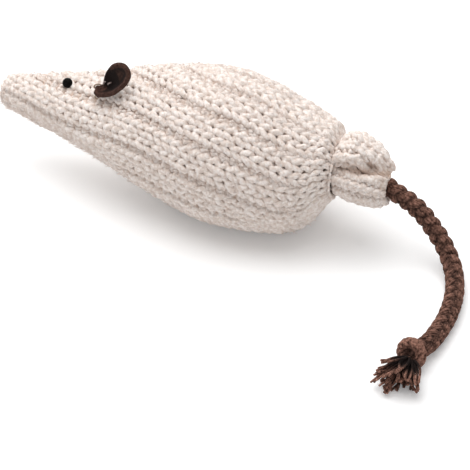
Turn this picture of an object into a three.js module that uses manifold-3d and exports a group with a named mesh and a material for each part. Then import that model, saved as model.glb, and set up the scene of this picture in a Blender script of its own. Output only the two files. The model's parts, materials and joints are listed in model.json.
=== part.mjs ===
// Catnip mouse: a rib-knitted, stuffed toy mouse with felt ears, bead eyes and a plaited tail.
// Millimetres, +Z up. The nose points to -X, the tail leaves at +X, and the belly rests on the origin.
import * as THREE from 'three';
import { mergeVertices } from 'three/addons/utils/BufferGeometryUtils.js';
import Module from 'manifold-3d';

const wasm = await Module();
wasm.setup();

// Clearances
const GAP = 0.3; // between pieces that touch on the real toy
const SOCKET_GAP = 0.35; // between the ruff's rounded front and the neck that holds it

// Body cover: stations are measured from the nose tip, sections are outer radii
const BODY_LENGTH = 114; // nose tip to the middle of the neck
const COVER_WALL = 2.6; // thickness of the rib knit
const NOSE_TIP = 3.9; // radius of the blunt nose's flat
const NOSE_STATION = 2.6;
const NOSE_SECTION = 6;
const EYE_STATION = 24;
const EYE_SECTION = 11.2;
const EAR_STATION = 37;
const EAR_SECTION = 15;
const CHEST_STATION = 56;
const CHEST_SECTION = 21;
const BELLY_STATION = 76;
const BELLY_SECTION = 24.5;
const RUMP_AHEAD = 18; // of the neck's middle
const RUMP_SECTION = 21.3;
const SEAT_AHEAD = 7.2; // of the neck's middle
const SEAT_SECTION = 14.6;
const REST_FLAT = 0.5; // depth of the flat that the belly rests on
const SAG = 3.8; // how far the stuffed rump hangs below the nose and the neck
const SAG_RISE = 4; // power of the slow fall from the nose
const SAG_RETURN = 18; // power of the quick rise to the neck
const DROOP = 2.2; // how far the underside hangs out of round ahead of the belly
const DROOP_STATION = 62;
const DROOP_REACH = 16; // to either side along X
const DROOP_POWER = 8; // keeps it to the underside
const ROLL = THREE.MathUtils.degToRad(40); // the toy lies rolled on its side by this much
const RIB_REPEATS = 14; // ribs round the widest section
const RIB_DEPTH = 1.5; // of the valley between two ribs
const RIB_SHARPNESS = 3; // narrows the valleys
const RIB_PRESSED = 0.95; // cosine of the angle from straight down where the ribs lie pressed flat
const RIB_FREE = 0.8; // and of the angle where they stand free
const RIB_SHIFT = 0.23; // ribs by which the pattern lies off the belly line
const RIB_MEET = 1.2; // ribs from the belly line within which both sides come together
const RIB_FRONT_BEND = 0.82; // ribs by which it bends towards the belly at the head
const RIB_FRONT_FROM = 60; // station where that bend begins
const RIB_FRONT_TO = 22; // and where it is complete
const RIB_REAR_BEND = 0.95; // ribs by which it bends towards the belly at the neck
const RIB_REAR_FROM = 70;
const RIB_REAR_POWER = 1.6;
const RIB_FADE = 1.25; // the bends fade from the belly side to the back
const RIB_FADE_RIBS = 5.6;
const RIB_SIDES = RIB_REPEATS * 6;
const COVER_SIDES = 32;
const COVER_STEPS = 36;
const LINING_STEPS = 13;
const WAD_SIDES = 24;

// Neck: the collar that the tie draws in, and the rounded front of the ruff inside it
const COLLAR_RADIUS = 7.4;
const COLLAR_FRONT = 5; // from the neck's middle forwards to the collar's front
const COLLAR_LIP = 1.2; // from the neck's middle forwards to the collar's end
const NECK_BALL = 5;
const TIE_THREAD = 0.8; // diameter
const TIE_TURNS = 2;
const TIE_PITCH = 1.25;
const TIE_STEPS = 24; // steps per turn
const TIE_SIDES = 6;

// Ruff: the gathered end of the knitted tube, a trumpet with folds
const RUFF_LENGTH = 14; // from the neck's middle to the rim
const RUFF_TILT = THREE.MathUtils.degToRad(10); // its rim is lifted by this much
const RUFF_RADIUS = 11.2; // mean outer radius
const RUFF_WALL = 2.3;
const RUFF_FOLDS = 4;
const RUFF_FOLD_DEPTH = 1.4; // half of a fold's height
const RUFF_WAIST = 4.9; // outer radius where it leaves the neck
const RUFF_SIDES = 32;
// Its outside and its lining: along in walls from the waist, share of the flare, share of the fold
const RUFF_OUTSIDE = [
  [0.4, 0.36, 0.1],
  [0.9, 0.7, 0.4],
  [1.7, 0.92, 0.7],
  [2.9, 1, 1],
];
const RUFF_LINING = [
  [3.6, 0.97, 0.9],
  [2.7, 0.8, 0.6],
  [2, 0.4, 0.25],
  [1.4, 0, 0],
];

// Tail cord
const CORD_DIAMETER = 5.6;
const CORD_NECK_DIAMETER = 4.8; // squeezed in the neck
const CORD_SIDES = 10;
const CORD_FLOOR_GAP = 0.4; // under the stretch that lies down
const TAIL_PIVOT_BACK = 8.5; // from the neck's middle back to the tail's bend
const TAIL_PIVOT_DROP = 2; // below the ruff's axis
const ANCHOR_KNOT = 4.4; // radius of the stopper knot inside
const ANCHOR_LENGTH = 15; // neck's middle to the stopper knot's middle

// End knot and tassel
const KNOT_CORD = 3.7; // diameter of the cord drawn tight in the knot
const KNOT_SPREAD = 1.24; // size of the knot's loops
const KNOT_RISE = 1.7; // how far the strands pass over each other
const KNOT_TILT = THREE.MathUtils.degToRad(18);
const TASSEL_THREADS = 30;
const TASSEL_THREAD = 0.75; // diameter
const TASSEL_LENGTH = 8.2;
const TASSEL_COLLAR = 2.4; // radius of the slice that the threads are fused to
const TASSEL_COLLAR_LENGTH = 1.6;
const TASSEL_CLEARANCE = 0.9; // from the knot's farthest point to the slice
const TASSEL_SPREAD = THREE.MathUtils.degToRad(46);

// Ears
const EAR_LENGTH = 11.4; // cupped disc
const EAR_WIDTH = 10.2;
const EAR_THICKNESS = 1.3;
const EAR_CUP = 2.6; // depth of the cup
const EAR_LIFT = THREE.MathUtils.degToRad(22); // off the head
const EAR_TWIST = THREE.MathUtils.degToRad(34); // turns the cup's mouth outwards
const EAR_SWEEP = THREE.MathUtils.degToRad(27); // from straight back towards the mouse's top
const EAR_AROUND = THREE.MathUtils.degToRad(69); // base, from the mouse's top
const EAR_STEM = 2; // base bar's middle to the disc
const EAR_STEM_WIDTH = 2.3;
const EAR_BAR_RADIUS = 0.9; // pinched, rolled base
const EAR_BAR_LENGTH = 5.4;
const EAR_LIP = 2.2; // how far the curled corner stands out of the oval
const EAR_RINGS = 4;
const EAR_SIDES = 20;
const STITCH_THREAD = 0.7; // diameter
const STITCH_SPACING = 3.9;
const STITCH_DEPTH = 1.4; // into the cover

// Eyes
const EYE_RADIUS = 1.45;
const EYE_PROUD = 0.25; // bead's middle above the cover
const EYE_AROUND = THREE.MathUtils.degToRad(57); // from the mouse's top
const EYE_THREAD = 0.8; // diameter
const EYE_HOLE_DEPTH = 0.9;

// Back seam
const SEAM_YARN = 1.4; // diameter
const SEAM_START = 6; // from the nose tip
const SEAM_END_GAP = 10; // before the neck's middle

// Catnip sachet in the stuffing
const SACHET_LENGTH = 34;
const SACHET_DIAMETER = 20;
const SACHET_WALL = 0.8;
const SACHET_MOUTH = 2.2; // radius of its gathered mouth

// Places that follow from the sizes
const NOSE_X = -BELLY_STATION;
const NECK_X = NOSE_X + BODY_LENGTH;
const bodyOutline = new THREE.SplineCurve(
  [
    [NOSE_STATION, NOSE_SECTION],
    [EYE_STATION, EYE_SECTION],
    [EAR_STATION, EAR_SECTION],
    [CHEST_STATION, CHEST_SECTION],
    [BELLY_STATION, BELLY_SECTION],
    [BODY_LENGTH - RUMP_AHEAD, RUMP_SECTION],
    [BODY_LENGTH - SEAT_AHEAD, SEAT_SECTION],
    [BODY_LENGTH - COLLAR_FRONT, COLLAR_RADIUS],
  ].map(([station, section]) => new THREE.Vector2(NOSE_X + station, section)),
);
const fineOutline = skin(0, COVER_STEPS * 20);
const DEPTHS = fineOutline.map((point) => point.y + sagAt(point.x) + droopAt(point.x));
const AXIS_HEIGHT = Math.max(...DEPTHS) - REST_FLAT;
const NECK = new THREE.Vector3(NECK_X, 0, AXIS_HEIGHT);
const TAIL_PIVOT = inRuff(TAIL_PIVOT_BACK, 0, -TAIL_PIVOT_DROP);
const MOUSE_TOP = Math.PI / 2 + ROLL; // angle round the axis, from -Y over +Z

// Route of the tail's free stretch from its bend in the ruff to the end knot:
// along X and Y from the bend, and the share of the bend's height over the floor
const TAIL_FLOOR = CORD_DIAMETER / 2 + CORD_FLOOR_GAP;
const TAIL_ROUTE = [
  [0, 0, 1],
  [2.95, -0.2, 0.968],
  [5.95, -0.5, 0.909],
  [9.25, -0.8, 0.824],
  [13.05, -0.9, 0.707],
  [16.75, -1.2, 0.563],
  [20.15, -2, 0.414],
  [23.25, -3.2, 0.275],
  [26.15, -5.1, 0.158],
  [29.05, -7.9, 0.068],
  [31.55, -11.6, 0.022],
  [33.45, -16.2, 0.002],
  [34.75, -21.7, 0],
  [35.25, -26.9, 0],
  [35.05, -31.3, 0],
  [34.25, -35.8, 0.005],
  [33.15, -39.8, 0.018],
  [31.85, -42.9, 0.04],
].map(([along, across, share]) => {
  const height = TAIL_FLOOR + (TAIL_PIVOT.z - TAIL_FLOOR) * share;
  return new THREE.Vector3(TAIL_PIVOT.x + along, TAIL_PIVOT.y + across, height);
});
const KNOT_ALONG = 29.25; // from the bend in the ruff
const KNOT_ACROSS = -47.4;
const TASSEL_HEADING = THREE.MathUtils.degToRad(-98); // plan direction of the tassel, from +X
const TASSEL_DROP = THREE.MathUtils.degToRad(11);

// Closed mesh to solid, and back
function toSolid(geometry) {
  const bare = geometry.clone();
  bare.deleteAttribute('normal');
  bare.deleteAttribute('uv');
  const merged = mergeVertices(bare, 1e-4);
  const position = merged.attributes.position;
  const index = merged.index.array;
  const triangles = [];
  let volume = 0;
  const [a, b, c] = [new THREE.Vector3(), new THREE.Vector3(), new THREE.Vector3()];
  for (let i = 0; i < index.length; i += 3) {
    const [p, q, r] = [index[i], index[i + 1], index[i + 2]];
    if (p === q || q === r || r === p) continue;
    triangles.push([p, q, r]);
    a.fromBufferAttribute(position, p);
    b.fromBufferAttribute(position, q);
    c.fromBufferAttribute(position, r);
    volume += a.dot(b.cross(c));
  }
  const outward = volume > 0 ? triangles : triangles.map(([p, q, r]) => [p, r, q]);
  return new wasm.Manifold(
    new wasm.Mesh({
      numProp: 3,
      vertProperties: new Float32Array(position.array),
      triVerts: new Uint32Array(outward.flat()),
    }),
  );
}

function toGeometry(solid) {
  const mesh = solid.getMesh();
  const geometry = new THREE.BufferGeometry();
  geometry.setAttribute('position', new THREE.BufferAttribute(mesh.vertProperties, 3));
  geometry.setIndex(new THREE.BufferAttribute(mesh.triVerts, 1));
  geometry.computeVertexNormals();
  return geometry;
}

// The outer skin of joined strands, without the hollows that they close between them
function outerSkin(solid) {
  return solid.decompose().reduce((best, part) => (part.volume() > best.volume() ? part : best));
}

// Shapes that more than one piece uses
function ringCentre(ring) {
  return ring.reduce((sum, point) => sum.add(point), new THREE.Vector3()).divideScalar(ring.length);
}

function loft(rings, closed = false) {
  const sides = rings[0].length;
  const points = rings.flat();
  const index = [];
  const bands = closed ? rings.length : rings.length - 1;
  for (let band = 0; band < bands; band += 1) {
    const here = band * sides;
    const next = ((band + 1) % rings.length) * sides;
    for (let side = 0; side < sides; side += 1) {
      const turn = (side + 1) % sides;
      index.push(here + side, here + turn, next + side, here + turn, next + turn, next + side);
    }
  }
  if (!closed) {
    const last = (rings.length - 1) * sides;
    const head = points.length;
    points.push(ringCentre(rings[0]), ringCentre(rings.at(-1)));
    for (let side = 0; side < sides; side += 1) {
      const turn = (side + 1) % sides;
      index.push(head, turn, side, head + 1, last + side, last + turn);
    }
  }
  const geometry = new THREE.BufferGeometry().setFromPoints(points);
  geometry.setIndex(index);
  return toSolid(geometry);
}

function tubeAlong(curve, diameter, sides, steps) {
  const section = new THREE.Shape();
  section.absarc(0, 0, diameter / 2, 0, Math.PI * 2, false);
  const options = { extrudePath: curve, steps, curveSegments: sides / 2, bevelEnabled: false };
  return toSolid(new THREE.ExtrudeGeometry(section, options));
}

function tubeThrough(points, diameter, sides, steps) {
  return tubeAlong(new THREE.CatmullRomCurve3(points), diameter, sides, steps);
}

function rodBetween(start, end, radius, sides) {
  return tubeAlong(new THREE.LineCurve3(start, end), radius * 2, sides, 1);
}

function ballAt(centre, radius, sides) {
  const geometry = new THREE.SphereGeometry(radius, sides, sides / 2);
  return toSolid(geometry.rotateX(Math.PI / 2).translate(centre.x, centre.y, centre.z));
}

// How far the body's middle line hangs at a place along X
function sagAt(x) {
  const share = THREE.MathUtils.clamp((x - NOSE_X) / (BODY_LENGTH - COLLAR_FRONT), 0, 1);
  const peak = SAG_RISE / (SAG_RISE + SAG_RETURN);
  const greatest = peak ** (SAG_RISE / SAG_RETURN) * (1 - peak);
  return (SAG * share ** SAG_RISE * (1 - share ** SAG_RETURN)) / greatest;
}

function droopAt(x) {
  const share = Math.min(Math.abs(x - NOSE_X - DROOP_STATION) / DROOP_REACH, 1);
  return DROOP * (1 - share ** 2) ** 2;
}

function sagged(point) {
  const down = AXIS_HEIGHT - point.z;
  const droop = droopAt(point.x);
  if (down > 0 && droop > 0) {
    const out = Math.hypot(point.y, down);
    const share = out / bodyAt(point.x - NOSE_X).radius;
    point.z -= droop * share * (down / out) ** DROOP_POWER;
  }
  point.z -= sagAt(point.x);
  return point;
}

// A place given along the tilted ruff's own axis from the neck's middle
function inRuff(back, side, height) {
  const point = new THREE.Vector3(back, side, height);
  return point.applyAxisAngle(new THREE.Vector3(0, 1, 0), -RUFF_TILT).add(NECK);
}

// Ribs counted from the belly line: ahead of the belly they run beside its outline, then to the neck
function ribCount(station, toBelly) {
  const { clamp, smoothstep } = THREE.MathUtils;
  const share = station < BELLY_STATION ? bodyAt(station).radius / BELLY_SECTION : 1;
  const count = (Math.acos(clamp(1 - share * (1 - toBelly), -1, 1)) * RIB_REPEATS) / (Math.PI * 2);
  const ahead = smoothstep(RIB_FRONT_FROM - station, 0, RIB_FRONT_FROM - RIB_FRONT_TO);
  const behind = Math.max(station - RIB_REAR_FROM, 0) / (BODY_LENGTH - COLLAR_FRONT - RIB_REAR_FROM);
  const bend = RIB_FRONT_BEND * ahead + RIB_REAR_BEND * behind ** RIB_REAR_POWER;
  const fade = clamp(RIB_FADE - count / RIB_FADE_RIBS, 0, 1);
  return count + (RIB_SHIFT + bend * fade) * smoothstep(count, 0, RIB_MEET);
}

// How far the knit dips between its ribs
function ribDip(station, out, fall, across) {
  const toBelly = (fall * Math.cos(ROLL) - across * Math.sin(ROLL)) / out;
  const wave = (1 - Math.cos(ribCount(station, toBelly) * Math.PI * 2)) / 2;
  const raised = THREE.MathUtils.smoothstep(out, COLLAR_RADIUS, EAR_SECTION);
  const free = 1 - THREE.MathUtils.smoothstep(fall / out, RIB_FREE, RIB_PRESSED);
  return RIB_DEPTH * wave ** RIB_SHARPNESS * raised * free;
}

function ribbed(point) {
  const fall = AXIS_HEIGHT - point.z;
  const out = Math.hypot(point.y, fall);
  if (out <= COLLAR_RADIUS + GAP) return point;
  const share = 1 - ribDip(point.x - NOSE_X, out, fall, point.y) / out;
  return point.set(point.x, point.y * share, AXIS_HEIGHT - fall * share);
}

// A solid turned round the body's axis, from outline points of (place along X, radius)
function turned(outline, sides = COVER_SIDES, shape = (point) => point) {
  const geometry = new THREE.LatheGeometry(
    outline.map((point) => new THREE.Vector2(Math.max(point.y, 0), point.x)),
    sides,
  );
  geometry.rotateZ(-Math.PI / 2).translate(0, 0, AXIS_HEIGHT);
  const position = geometry.attributes.position;
  const point = new THREE.Vector3();
  for (let i = 0; i < position.count; i += 1) {
    sagged(shape(point.fromBufferAttribute(position, i)));
    position.setXYZ(i, point.x, point.y, point.z);
  }
  return toSolid(geometry);
}

function around(angle, radius, x) {
  const height = AXIS_HEIGHT + radius * Math.sin(angle);
  return sagged(new THREE.Vector3(x, -radius * Math.cos(angle), height));
}

// Mirror image in the mouse's own middle plane
const MOUSE_LEFT = new THREE.Vector3(0, -Math.cos(ROLL), Math.sin(ROLL));

function mirrored(point) {
  const side = point.clone().sub(NECK).dot(MOUSE_LEFT);
  return point.clone().addScaledVector(MOUSE_LEFT, -2 * side);
}

// Outline of the body, set in from the skin
function skin(inset, steps) {
  const points = [];
  for (let step = 0; step <= steps; step += 1) {
    const share = step / steps;
    const tangent = bodyOutline.getTangent(share);
    const point = bodyOutline.getPoint(share);
    points.push(new THREE.Vector2(point.x + tangent.y * inset, point.y - tangent.x * inset));
  }
  return points.filter((point) => point.y > 0);
}

function bodyAt(station) {
  const x = NOSE_X + station;
  const after = fineOutline.findIndex((point) => point.x >= x);
  const [low, high] = [fineOutline[after - 1], fineOutline[after]];
  const share = (x - low.x) / (high.x - low.x);
  const slope = (high.y - low.y) / (high.x - low.x);
  return { x, radius: low.y + (high.y - low.y) * share, slope };
}

// Body cover
const socketRadius = NECK_BALL + SOCKET_GAP;
const cordBore = CORD_NECK_DIAMETER / 2 + GAP;
const liningEnd = NECK_X - Math.sqrt(socketRadius ** 2 - cordBore ** 2);

function liningOutline(extra) {
  const throat = liningEnd - COVER_WALL - extra;
  return skin(COVER_WALL + extra, LINING_STEPS).filter((point) => point.x < throat);
}

function coverSolid() {
  const lining = liningOutline(0);
  const outline = [
    new THREE.Vector2(NOSE_X, 0),
    new THREE.Vector2(NOSE_X, NOSE_TIP),
    ...skin(0, COVER_STEPS),
    new THREE.Vector2(NECK_X - COLLAR_LIP, COLLAR_RADIUS),
    new THREE.Vector2(NECK_X - COLLAR_LIP, 0),
  ];
  const outside = turned(outline, RIB_SIDES, ribbed);
  const inside = turned([
    new THREE.Vector2(NOSE_X + COVER_WALL, 0),
    ...lining,
    new THREE.Vector2(lining.at(-1).x, 0),
  ]);
  const below = new THREE.BoxGeometry(BODY_LENGTH * 2, BELLY_SECTION * 4, BELLY_SECTION);
  return outside
    .subtract(inside)
    .subtract(rodBetween(anchorKnot, NECK, cordBore, 12))
    .subtract(ballAt(NECK, socketRadius, 24))
    .subtract(toSolid(below.translate(0, 0, -BELLY_SECTION / 2)));
}

// Stuffing, in two wads that meet round the sachet
const sachetX = NOSE_X + BELLY_STATION;

function sachetOutline(inset, mouth) {
  const [length, radius] = [SACHET_LENGTH / 2 - inset, SACHET_DIAMETER / 2 - inset];
  const stop = mouth > 0 ? Math.asin(mouth / radius) : 0;
  const steps = 10;
  const points = [];
  for (let step = 0; step <= steps; step += 1) {
    const angle = Math.PI + ((stop - Math.PI) * step) / steps;
    points.push(new THREE.Vector2(sachetX + length * Math.cos(angle), radius * Math.sin(angle)));
  }
  return points;
}

const anchorKnot = new THREE.Vector3(NECK_X - ANCHOR_LENGTH, 0, AXIS_HEIGHT);

function wadSolid() {
  const lining = liningOutline(GAP);
  const wad = turned(
    [new THREE.Vector2(lining[0].x, 0), ...lining, new THREE.Vector2(lining.at(-1).x, 0)],
    WAD_SIDES,
  );
  const pouch = turned(sachetOutline(-GAP, 0), WAD_SIDES);
  return wad
    .subtract(pouch)
    .subtract(ballAt(anchorKnot, ANCHOR_KNOT + GAP, 12))
    .subtract(rodBetween(anchorKnot, NECK, ANCHOR_KNOT - GAP, 12));
}

function halfSpace(side) {
  const size = BODY_LENGTH * 2;
  const box = new THREE.BoxGeometry(size, size, size);
  return toSolid(box.translate(sachetX + side * (size / 2 + GAP / 2), 0, AXIS_HEIGHT));
}

// Catnip sachet and its fill
function sachetSolid() {
  const outside = sachetOutline(0, SACHET_MOUTH + SACHET_WALL).reverse();
  const inside = sachetOutline(SACHET_WALL, SACHET_MOUTH);
  return turned([...inside, ...outside], WAD_SIDES);
}

function catnipSolid() {
  return turned(sachetOutline(SACHET_WALL + GAP, 0), WAD_SIDES);
}

// Ruff
function ruffProfile() {
  const ball = [];
  const bore = cordBore;
  const start = Math.PI - Math.asin(bore / NECK_BALL);
  const end = Math.asin(RUFF_WAIST / NECK_BALL);
  const steps = 6;
  for (let step = 0; step <= steps; step += 1) {
    const angle = start + ((end - start) * step) / steps;
    ball.push([NECK_BALL * Math.cos(angle), NECK_BALL * Math.sin(angle), 0]);
  }
  const waist = NECK_BALL * Math.cos(end);
  const flare = RUFF_RADIUS - RUFF_WAIST;
  const hollow = RUFF_RADIUS - RUFF_WALL - bore;
  const outside = RUFF_OUTSIDE.map(([walls, share, fold]) => [
    waist + RUFF_WALL * walls,
    RUFF_WAIST + flare * share,
    fold,
  ]);
  const lining = RUFF_LINING.map(([walls, share, fold]) => [
    waist + RUFF_WALL * walls,
    bore + hollow * share,
    fold,
  ]);
  const rim = [];
  const rimSteps = 4;
  for (let step = 0; step <= rimSteps; step += 1) {
    const angle = Math.PI / 2 - (step / rimSteps) * Math.PI;
    const [back, out] = [Math.cos(angle), Math.sin(angle)].map((share) => (share * RUFF_WALL) / 2);
    rim.push([RUFF_LENGTH - RUFF_WALL / 2 + back, RUFF_RADIUS - RUFF_WALL / 2 + out, 1]);
  }
  return [...ball, ...outside, ...rim, ...lining];
}

function ruffSolid() {
  const rings = ruffProfile().map(([back, radius, fold]) => {
    const ring = [];
    for (let side = 0; side < RUFF_SIDES; side += 1) {
      const angle = (side / RUFF_SIDES) * Math.PI * 2;
      const wave = RUFF_FOLD_DEPTH * fold * Math.cos(RUFF_FOLDS * angle);
      const out = radius + wave;
      ring.push(inRuff(back, -out * Math.cos(angle), out * Math.sin(angle)));
    }
    return ring;
  });
  return loft(rings, true);
}

// Neck tie: one thread wound round the collar
function tiePoint(turn) {
  const radius = COLLAR_RADIUS + GAP + TIE_THREAD / 2;
  const start = NECK_X - COLLAR_FRONT + GAP + TIE_THREAD / 2;
  return around(turn * Math.PI * 2, radius, start + turn * TIE_PITCH);
}

function tieSolid() {
  const rings = [];
  const points = [];
  for (let step = 0; step <= TIE_TURNS * TIE_STEPS; step += 1) {
    const turn = step / TIE_STEPS;
    const centre = tiePoint(turn);
    const angle = turn * Math.PI * 2;
    const outward = new THREE.Vector3(0, -Math.cos(angle), Math.sin(angle));
    const ring = [];
    for (let side = 0; side < TIE_SIDES; side += 1) {
      const corner = (side / TIE_SIDES) * Math.PI * 2;
      const offset = outward.clone().multiplyScalar(Math.cos(corner));
      offset.x += Math.sin(corner);
      ring.push(centre.clone().addScaledVector(offset, TIE_THREAD / 2));
    }
    points.push(centre);
    rings.push(ring);
  }
  let least = Infinity;
  points.forEach((point, i) => {
    for (let j = i + TIE_STEPS / 2; j < points.length; j += 1) {
      least = Math.min(least, point.distanceTo(points[j]) - TIE_THREAD);
    }
  });
  console.log(`neck tie: least gap to itself ${least.toFixed(2)} mm`);
  return loft(rings);
}

// Back seam: the sewing yarn in its furrow along the mouse's back
function seamPoints() {
  const points = [];
  const steps = 16;
  const last = BODY_LENGTH - SEAM_END_GAP;
  for (let step = 0; step <= steps; step += 1) {
    const place = bodyAt(SEAM_START + ((last - SEAM_START) * step) / steps);
    points.push(around(MOUSE_TOP, place.radius - SEAM_YARN / 4, place.x));
  }
  return points;
}

// Tail cord inside and outside the body
function tailRootSolid() {
  const front = Math.sqrt(NECK_BALL ** 2 - (CORD_NECK_DIAMETER / 2) ** 2) - GAP;
  const back = TAIL_PIVOT_BACK - CORD_DIAMETER / 2 - GAP * 2;
  return rodBetween(inRuff(-front, 0, 0), inRuff(back, 0, 0), CORD_NECK_DIAMETER / 2, CORD_SIDES);
}

function tailAnchorSolid() {
  const end = new THREE.Vector3(NECK_X - socketRadius - GAP, 0, AXIS_HEIGHT);
  const knot = ballAt(anchorKnot, ANCHOR_KNOT, 12);
  return knot.add(rodBetween(anchorKnot, end, CORD_NECK_DIAMETER / 2, CORD_SIDES));
}

function tailCordSolid() {
  const route = new THREE.CatmullRomCurve3(TAIL_ROUTE);
  const steps = TAIL_ROUTE.length - 1;
  const cord = tubeAlong(route, CORD_DIAMETER, CORD_SIDES, steps);
  return cord.add(ballAt(TAIL_ROUTE[0], CORD_DIAMETER / 2, CORD_SIDES));
}

// End knot: an overhand knot drawn tight, lying on the floor
const knotCentre = new THREE.Vector3(TAIL_PIVOT.x + KNOT_ALONG, TAIL_PIVOT.y + KNOT_ACROSS, 0);

function knotPoint(angle) {
  const point = new THREE.Vector3(
    Math.sin(angle) + 2 * Math.sin(2 * angle),
    Math.cos(angle) - 2 * Math.cos(2 * angle),
    0,
  ).multiplyScalar(KNOT_SPREAD);
  point.z = -KNOT_RISE * Math.sin(3 * angle);
  return point.applyAxisAngle(new THREE.Vector3(1, 0, 0), KNOT_TILT);
}

function knotSolid() {
  const arcs = 3;
  const steps = 10;
  const overlap = 0.06;
  let knot = null;
  for (let arc = 0; arc < arcs; arc += 1) {
    const points = [];
    for (let step = 0; step <= steps; step += 1) {
      const share = -overlap + ((1 + 2 * overlap) * step) / steps;
      points.push(knotPoint(((arc + share) / arcs) * Math.PI * 2));
    }
    const piece = tubeThrough(points, KNOT_CORD, 8, steps);
    knot = knot ? knot.add(piece) : piece;
  }
  const low = knot.boundingBox().min[2];
  return outerSkin(knot).translate([knotCentre.x, knotCentre.y, -low]);
}

// Tassel: frayed threads fused to a slice of the cord, fanned out beyond the knot
const tasselAxis = new THREE.Vector3(
  Math.cos(TASSEL_HEADING) * Math.cos(TASSEL_DROP),
  Math.sin(TASSEL_HEADING) * Math.cos(TASSEL_DROP),
  -Math.sin(TASSEL_DROP),
);

function tasselSolid(knotHeight, knotReach) {
  const root = new THREE.Vector3(knotCentre.x, knotCentre.y, knotHeight);
  root.addScaledVector(tasselAxis, knotReach);
  const tip = root.clone().addScaledVector(tasselAxis, TASSEL_COLLAR_LENGTH);
  const side = new THREE.Vector3().crossVectors(tasselAxis, new THREE.Vector3(0, 0, 1)).normalize();
  const rise = new THREE.Vector3().crossVectors(side, tasselAxis);
  const golden = Math.PI * (3 - Math.sqrt(5));
  let tassel = rodBetween(root, tip, TASSEL_COLLAR, 12);
  for (let thread = 0; thread < TASSEL_THREADS; thread += 1) {
    const share = Math.sqrt((thread + 0.5) / TASSEL_THREADS);
    const angle = thread * golden;
    const spread = new THREE.Vector3().addScaledVector(side, Math.cos(angle));
    spread.addScaledVector(rise, Math.sin(angle));
    const start = tip.clone().addScaledVector(spread, share * (TASSEL_COLLAR - TASSEL_THREAD));
    start.addScaledVector(tasselAxis, -TASSEL_COLLAR_LENGTH / 2);
    const lean = spread.clone().multiplyScalar(Math.sin(TASSEL_SPREAD * share));
    const heading = lean.addScaledVector(tasselAxis, Math.cos(TASSEL_SPREAD * share));
    const end = start.clone().addScaledVector(heading, TASSEL_LENGTH);
    end.z = Math.max(end.z, TASSEL_THREAD);
    tassel = tassel.add(rodBetween(start, end, TASSEL_THREAD / 2, 4));
  }
  return outerSkin(tassel);
}

// Ears: a frame on the head for the left ear, mirrored for the right one
const earPlace = bodyAt(EAR_STATION);
const earAngle = MOUSE_TOP - EAR_AROUND;
const earFoot = around(earAngle, earPlace.radius, earPlace.x);
const outward = new THREE.Vector3(0, -Math.cos(earAngle), Math.sin(earAngle));
const backward = new THREE.Vector3(1, 0, 0).addScaledVector(outward, earPlace.slope).normalize();
const upward = new THREE.Vector3(0, Math.sin(earAngle), Math.cos(earAngle));
const headNormal = new THREE.Vector3().crossVectors(backward, upward);
const earBack = new THREE.Vector3()
  .addScaledVector(backward, Math.cos(EAR_SWEEP))
  .addScaledVector(upward, Math.sin(EAR_SWEEP));
const earHinge = new THREE.Vector3().crossVectors(earBack, headNormal);
const earAlong = earBack.clone().applyAxisAngle(earHinge, EAR_LIFT);
const earAcross = earHinge.clone().applyAxisAngle(earAlong, EAR_TWIST);
const earOpen = new THREE.Vector3().crossVectors(earAcross, earAlong);
const earBarLift = EAR_BAR_RADIUS + GAP;
const earBase = earFoot.clone().addScaledVector(headNormal, earBarLift);

function earPoint(along, across, open) {
  return earBase
    .clone()
    .addScaledVector(earAlong, along)
    .addScaledVector(earAcross, across)
    .addScaledVector(earOpen, open);
}

function earRim(angle) {
  const lip = EAR_LIP * Math.exp(-(((angle - Math.PI * 0.8) / 0.28) ** 2));
  const along = (EAR_LENGTH / 2) * Math.cos(angle);
  const across = (EAR_WIDTH / 2 + lip) * Math.sin(angle);
  return { along, across, lip };
}

function earSurface(share, angle, side) {
  const rim = earRim(angle);
  const cup = EAR_CUP * share ** 2 * (0.45 + 0.55 * Math.sin(angle) ** 2);
  const middle = EAR_STEM + EAR_LENGTH / 2;
  const open = cup + (side * EAR_THICKNESS) / 2;
  return earPoint(middle + rim.along * share, rim.across * share, open);
}

function earSolid() {
  const rings = [];
  for (let ring = 1; ring <= EAR_RINGS * 2; ring += 1) {
    const back = ring <= EAR_RINGS;
    const share = (back ? ring : EAR_RINGS * 2 + 1 - ring) / EAR_RINGS;
    const points = [];
    for (let side = 0; side < EAR_SIDES; side += 1) {
      points.push(earSurface(share, (side / EAR_SIDES) * Math.PI * 2, back ? -1 : 1));
    }
    rings.push(points);
  }
  const stemEnd = EAR_STEM + EAR_LENGTH / 4;
  const stem = new THREE.BoxGeometry(stemEnd, EAR_STEM_WIDTH, EAR_THICKNESS);
  const turn = new THREE.Matrix4().makeBasis(earAlong, earAcross, earOpen);
  const middle = earPoint(stemEnd / 2, 0, EAR_CUP / 4);
  stem.applyMatrix4(turn.setPosition(middle));
  const halfBar = earHinge.clone().multiplyScalar(EAR_BAR_LENGTH / 2);
  const bar = rodBetween(earBase.clone().sub(halfBar), earBase.clone().add(halfBar), EAR_BAR_RADIUS, 12);
  return loft(rings).add(toSolid(stem)).add(bar);
}

// A stitch arches over one end of the ear's rolled base, with both legs in the cover
function stitchPoints(across, depth) {
  const arch = EAR_BAR_RADIUS + GAP + STITCH_THREAD / 2;
  const middle = earBase.clone().addScaledVector(earHinge, across);
  const points = [];
  const place = (back, height) => {
    const point = middle.clone().addScaledVector(earBack, back);
    points.push(point.addScaledVector(headNormal, height));
  };
  place(-arch, -earBarLift - depth);
  const steps = 8;
  for (let step = 0; step <= steps; step += 1) {
    const angle = Math.PI - (step / steps) * Math.PI;
    place(arch * Math.cos(angle), arch * Math.sin(angle));
  }
  place(arch, -earBarLift - depth);
  return points;
}

function stitchSolid(across) {
  const points = stitchPoints(across, STITCH_DEPTH);
  const curve = new THREE.CatmullRomCurve3(points, false, 'centripetal');
  return tubeAlong(curve, STITCH_THREAD, 6, 16);
}

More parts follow.
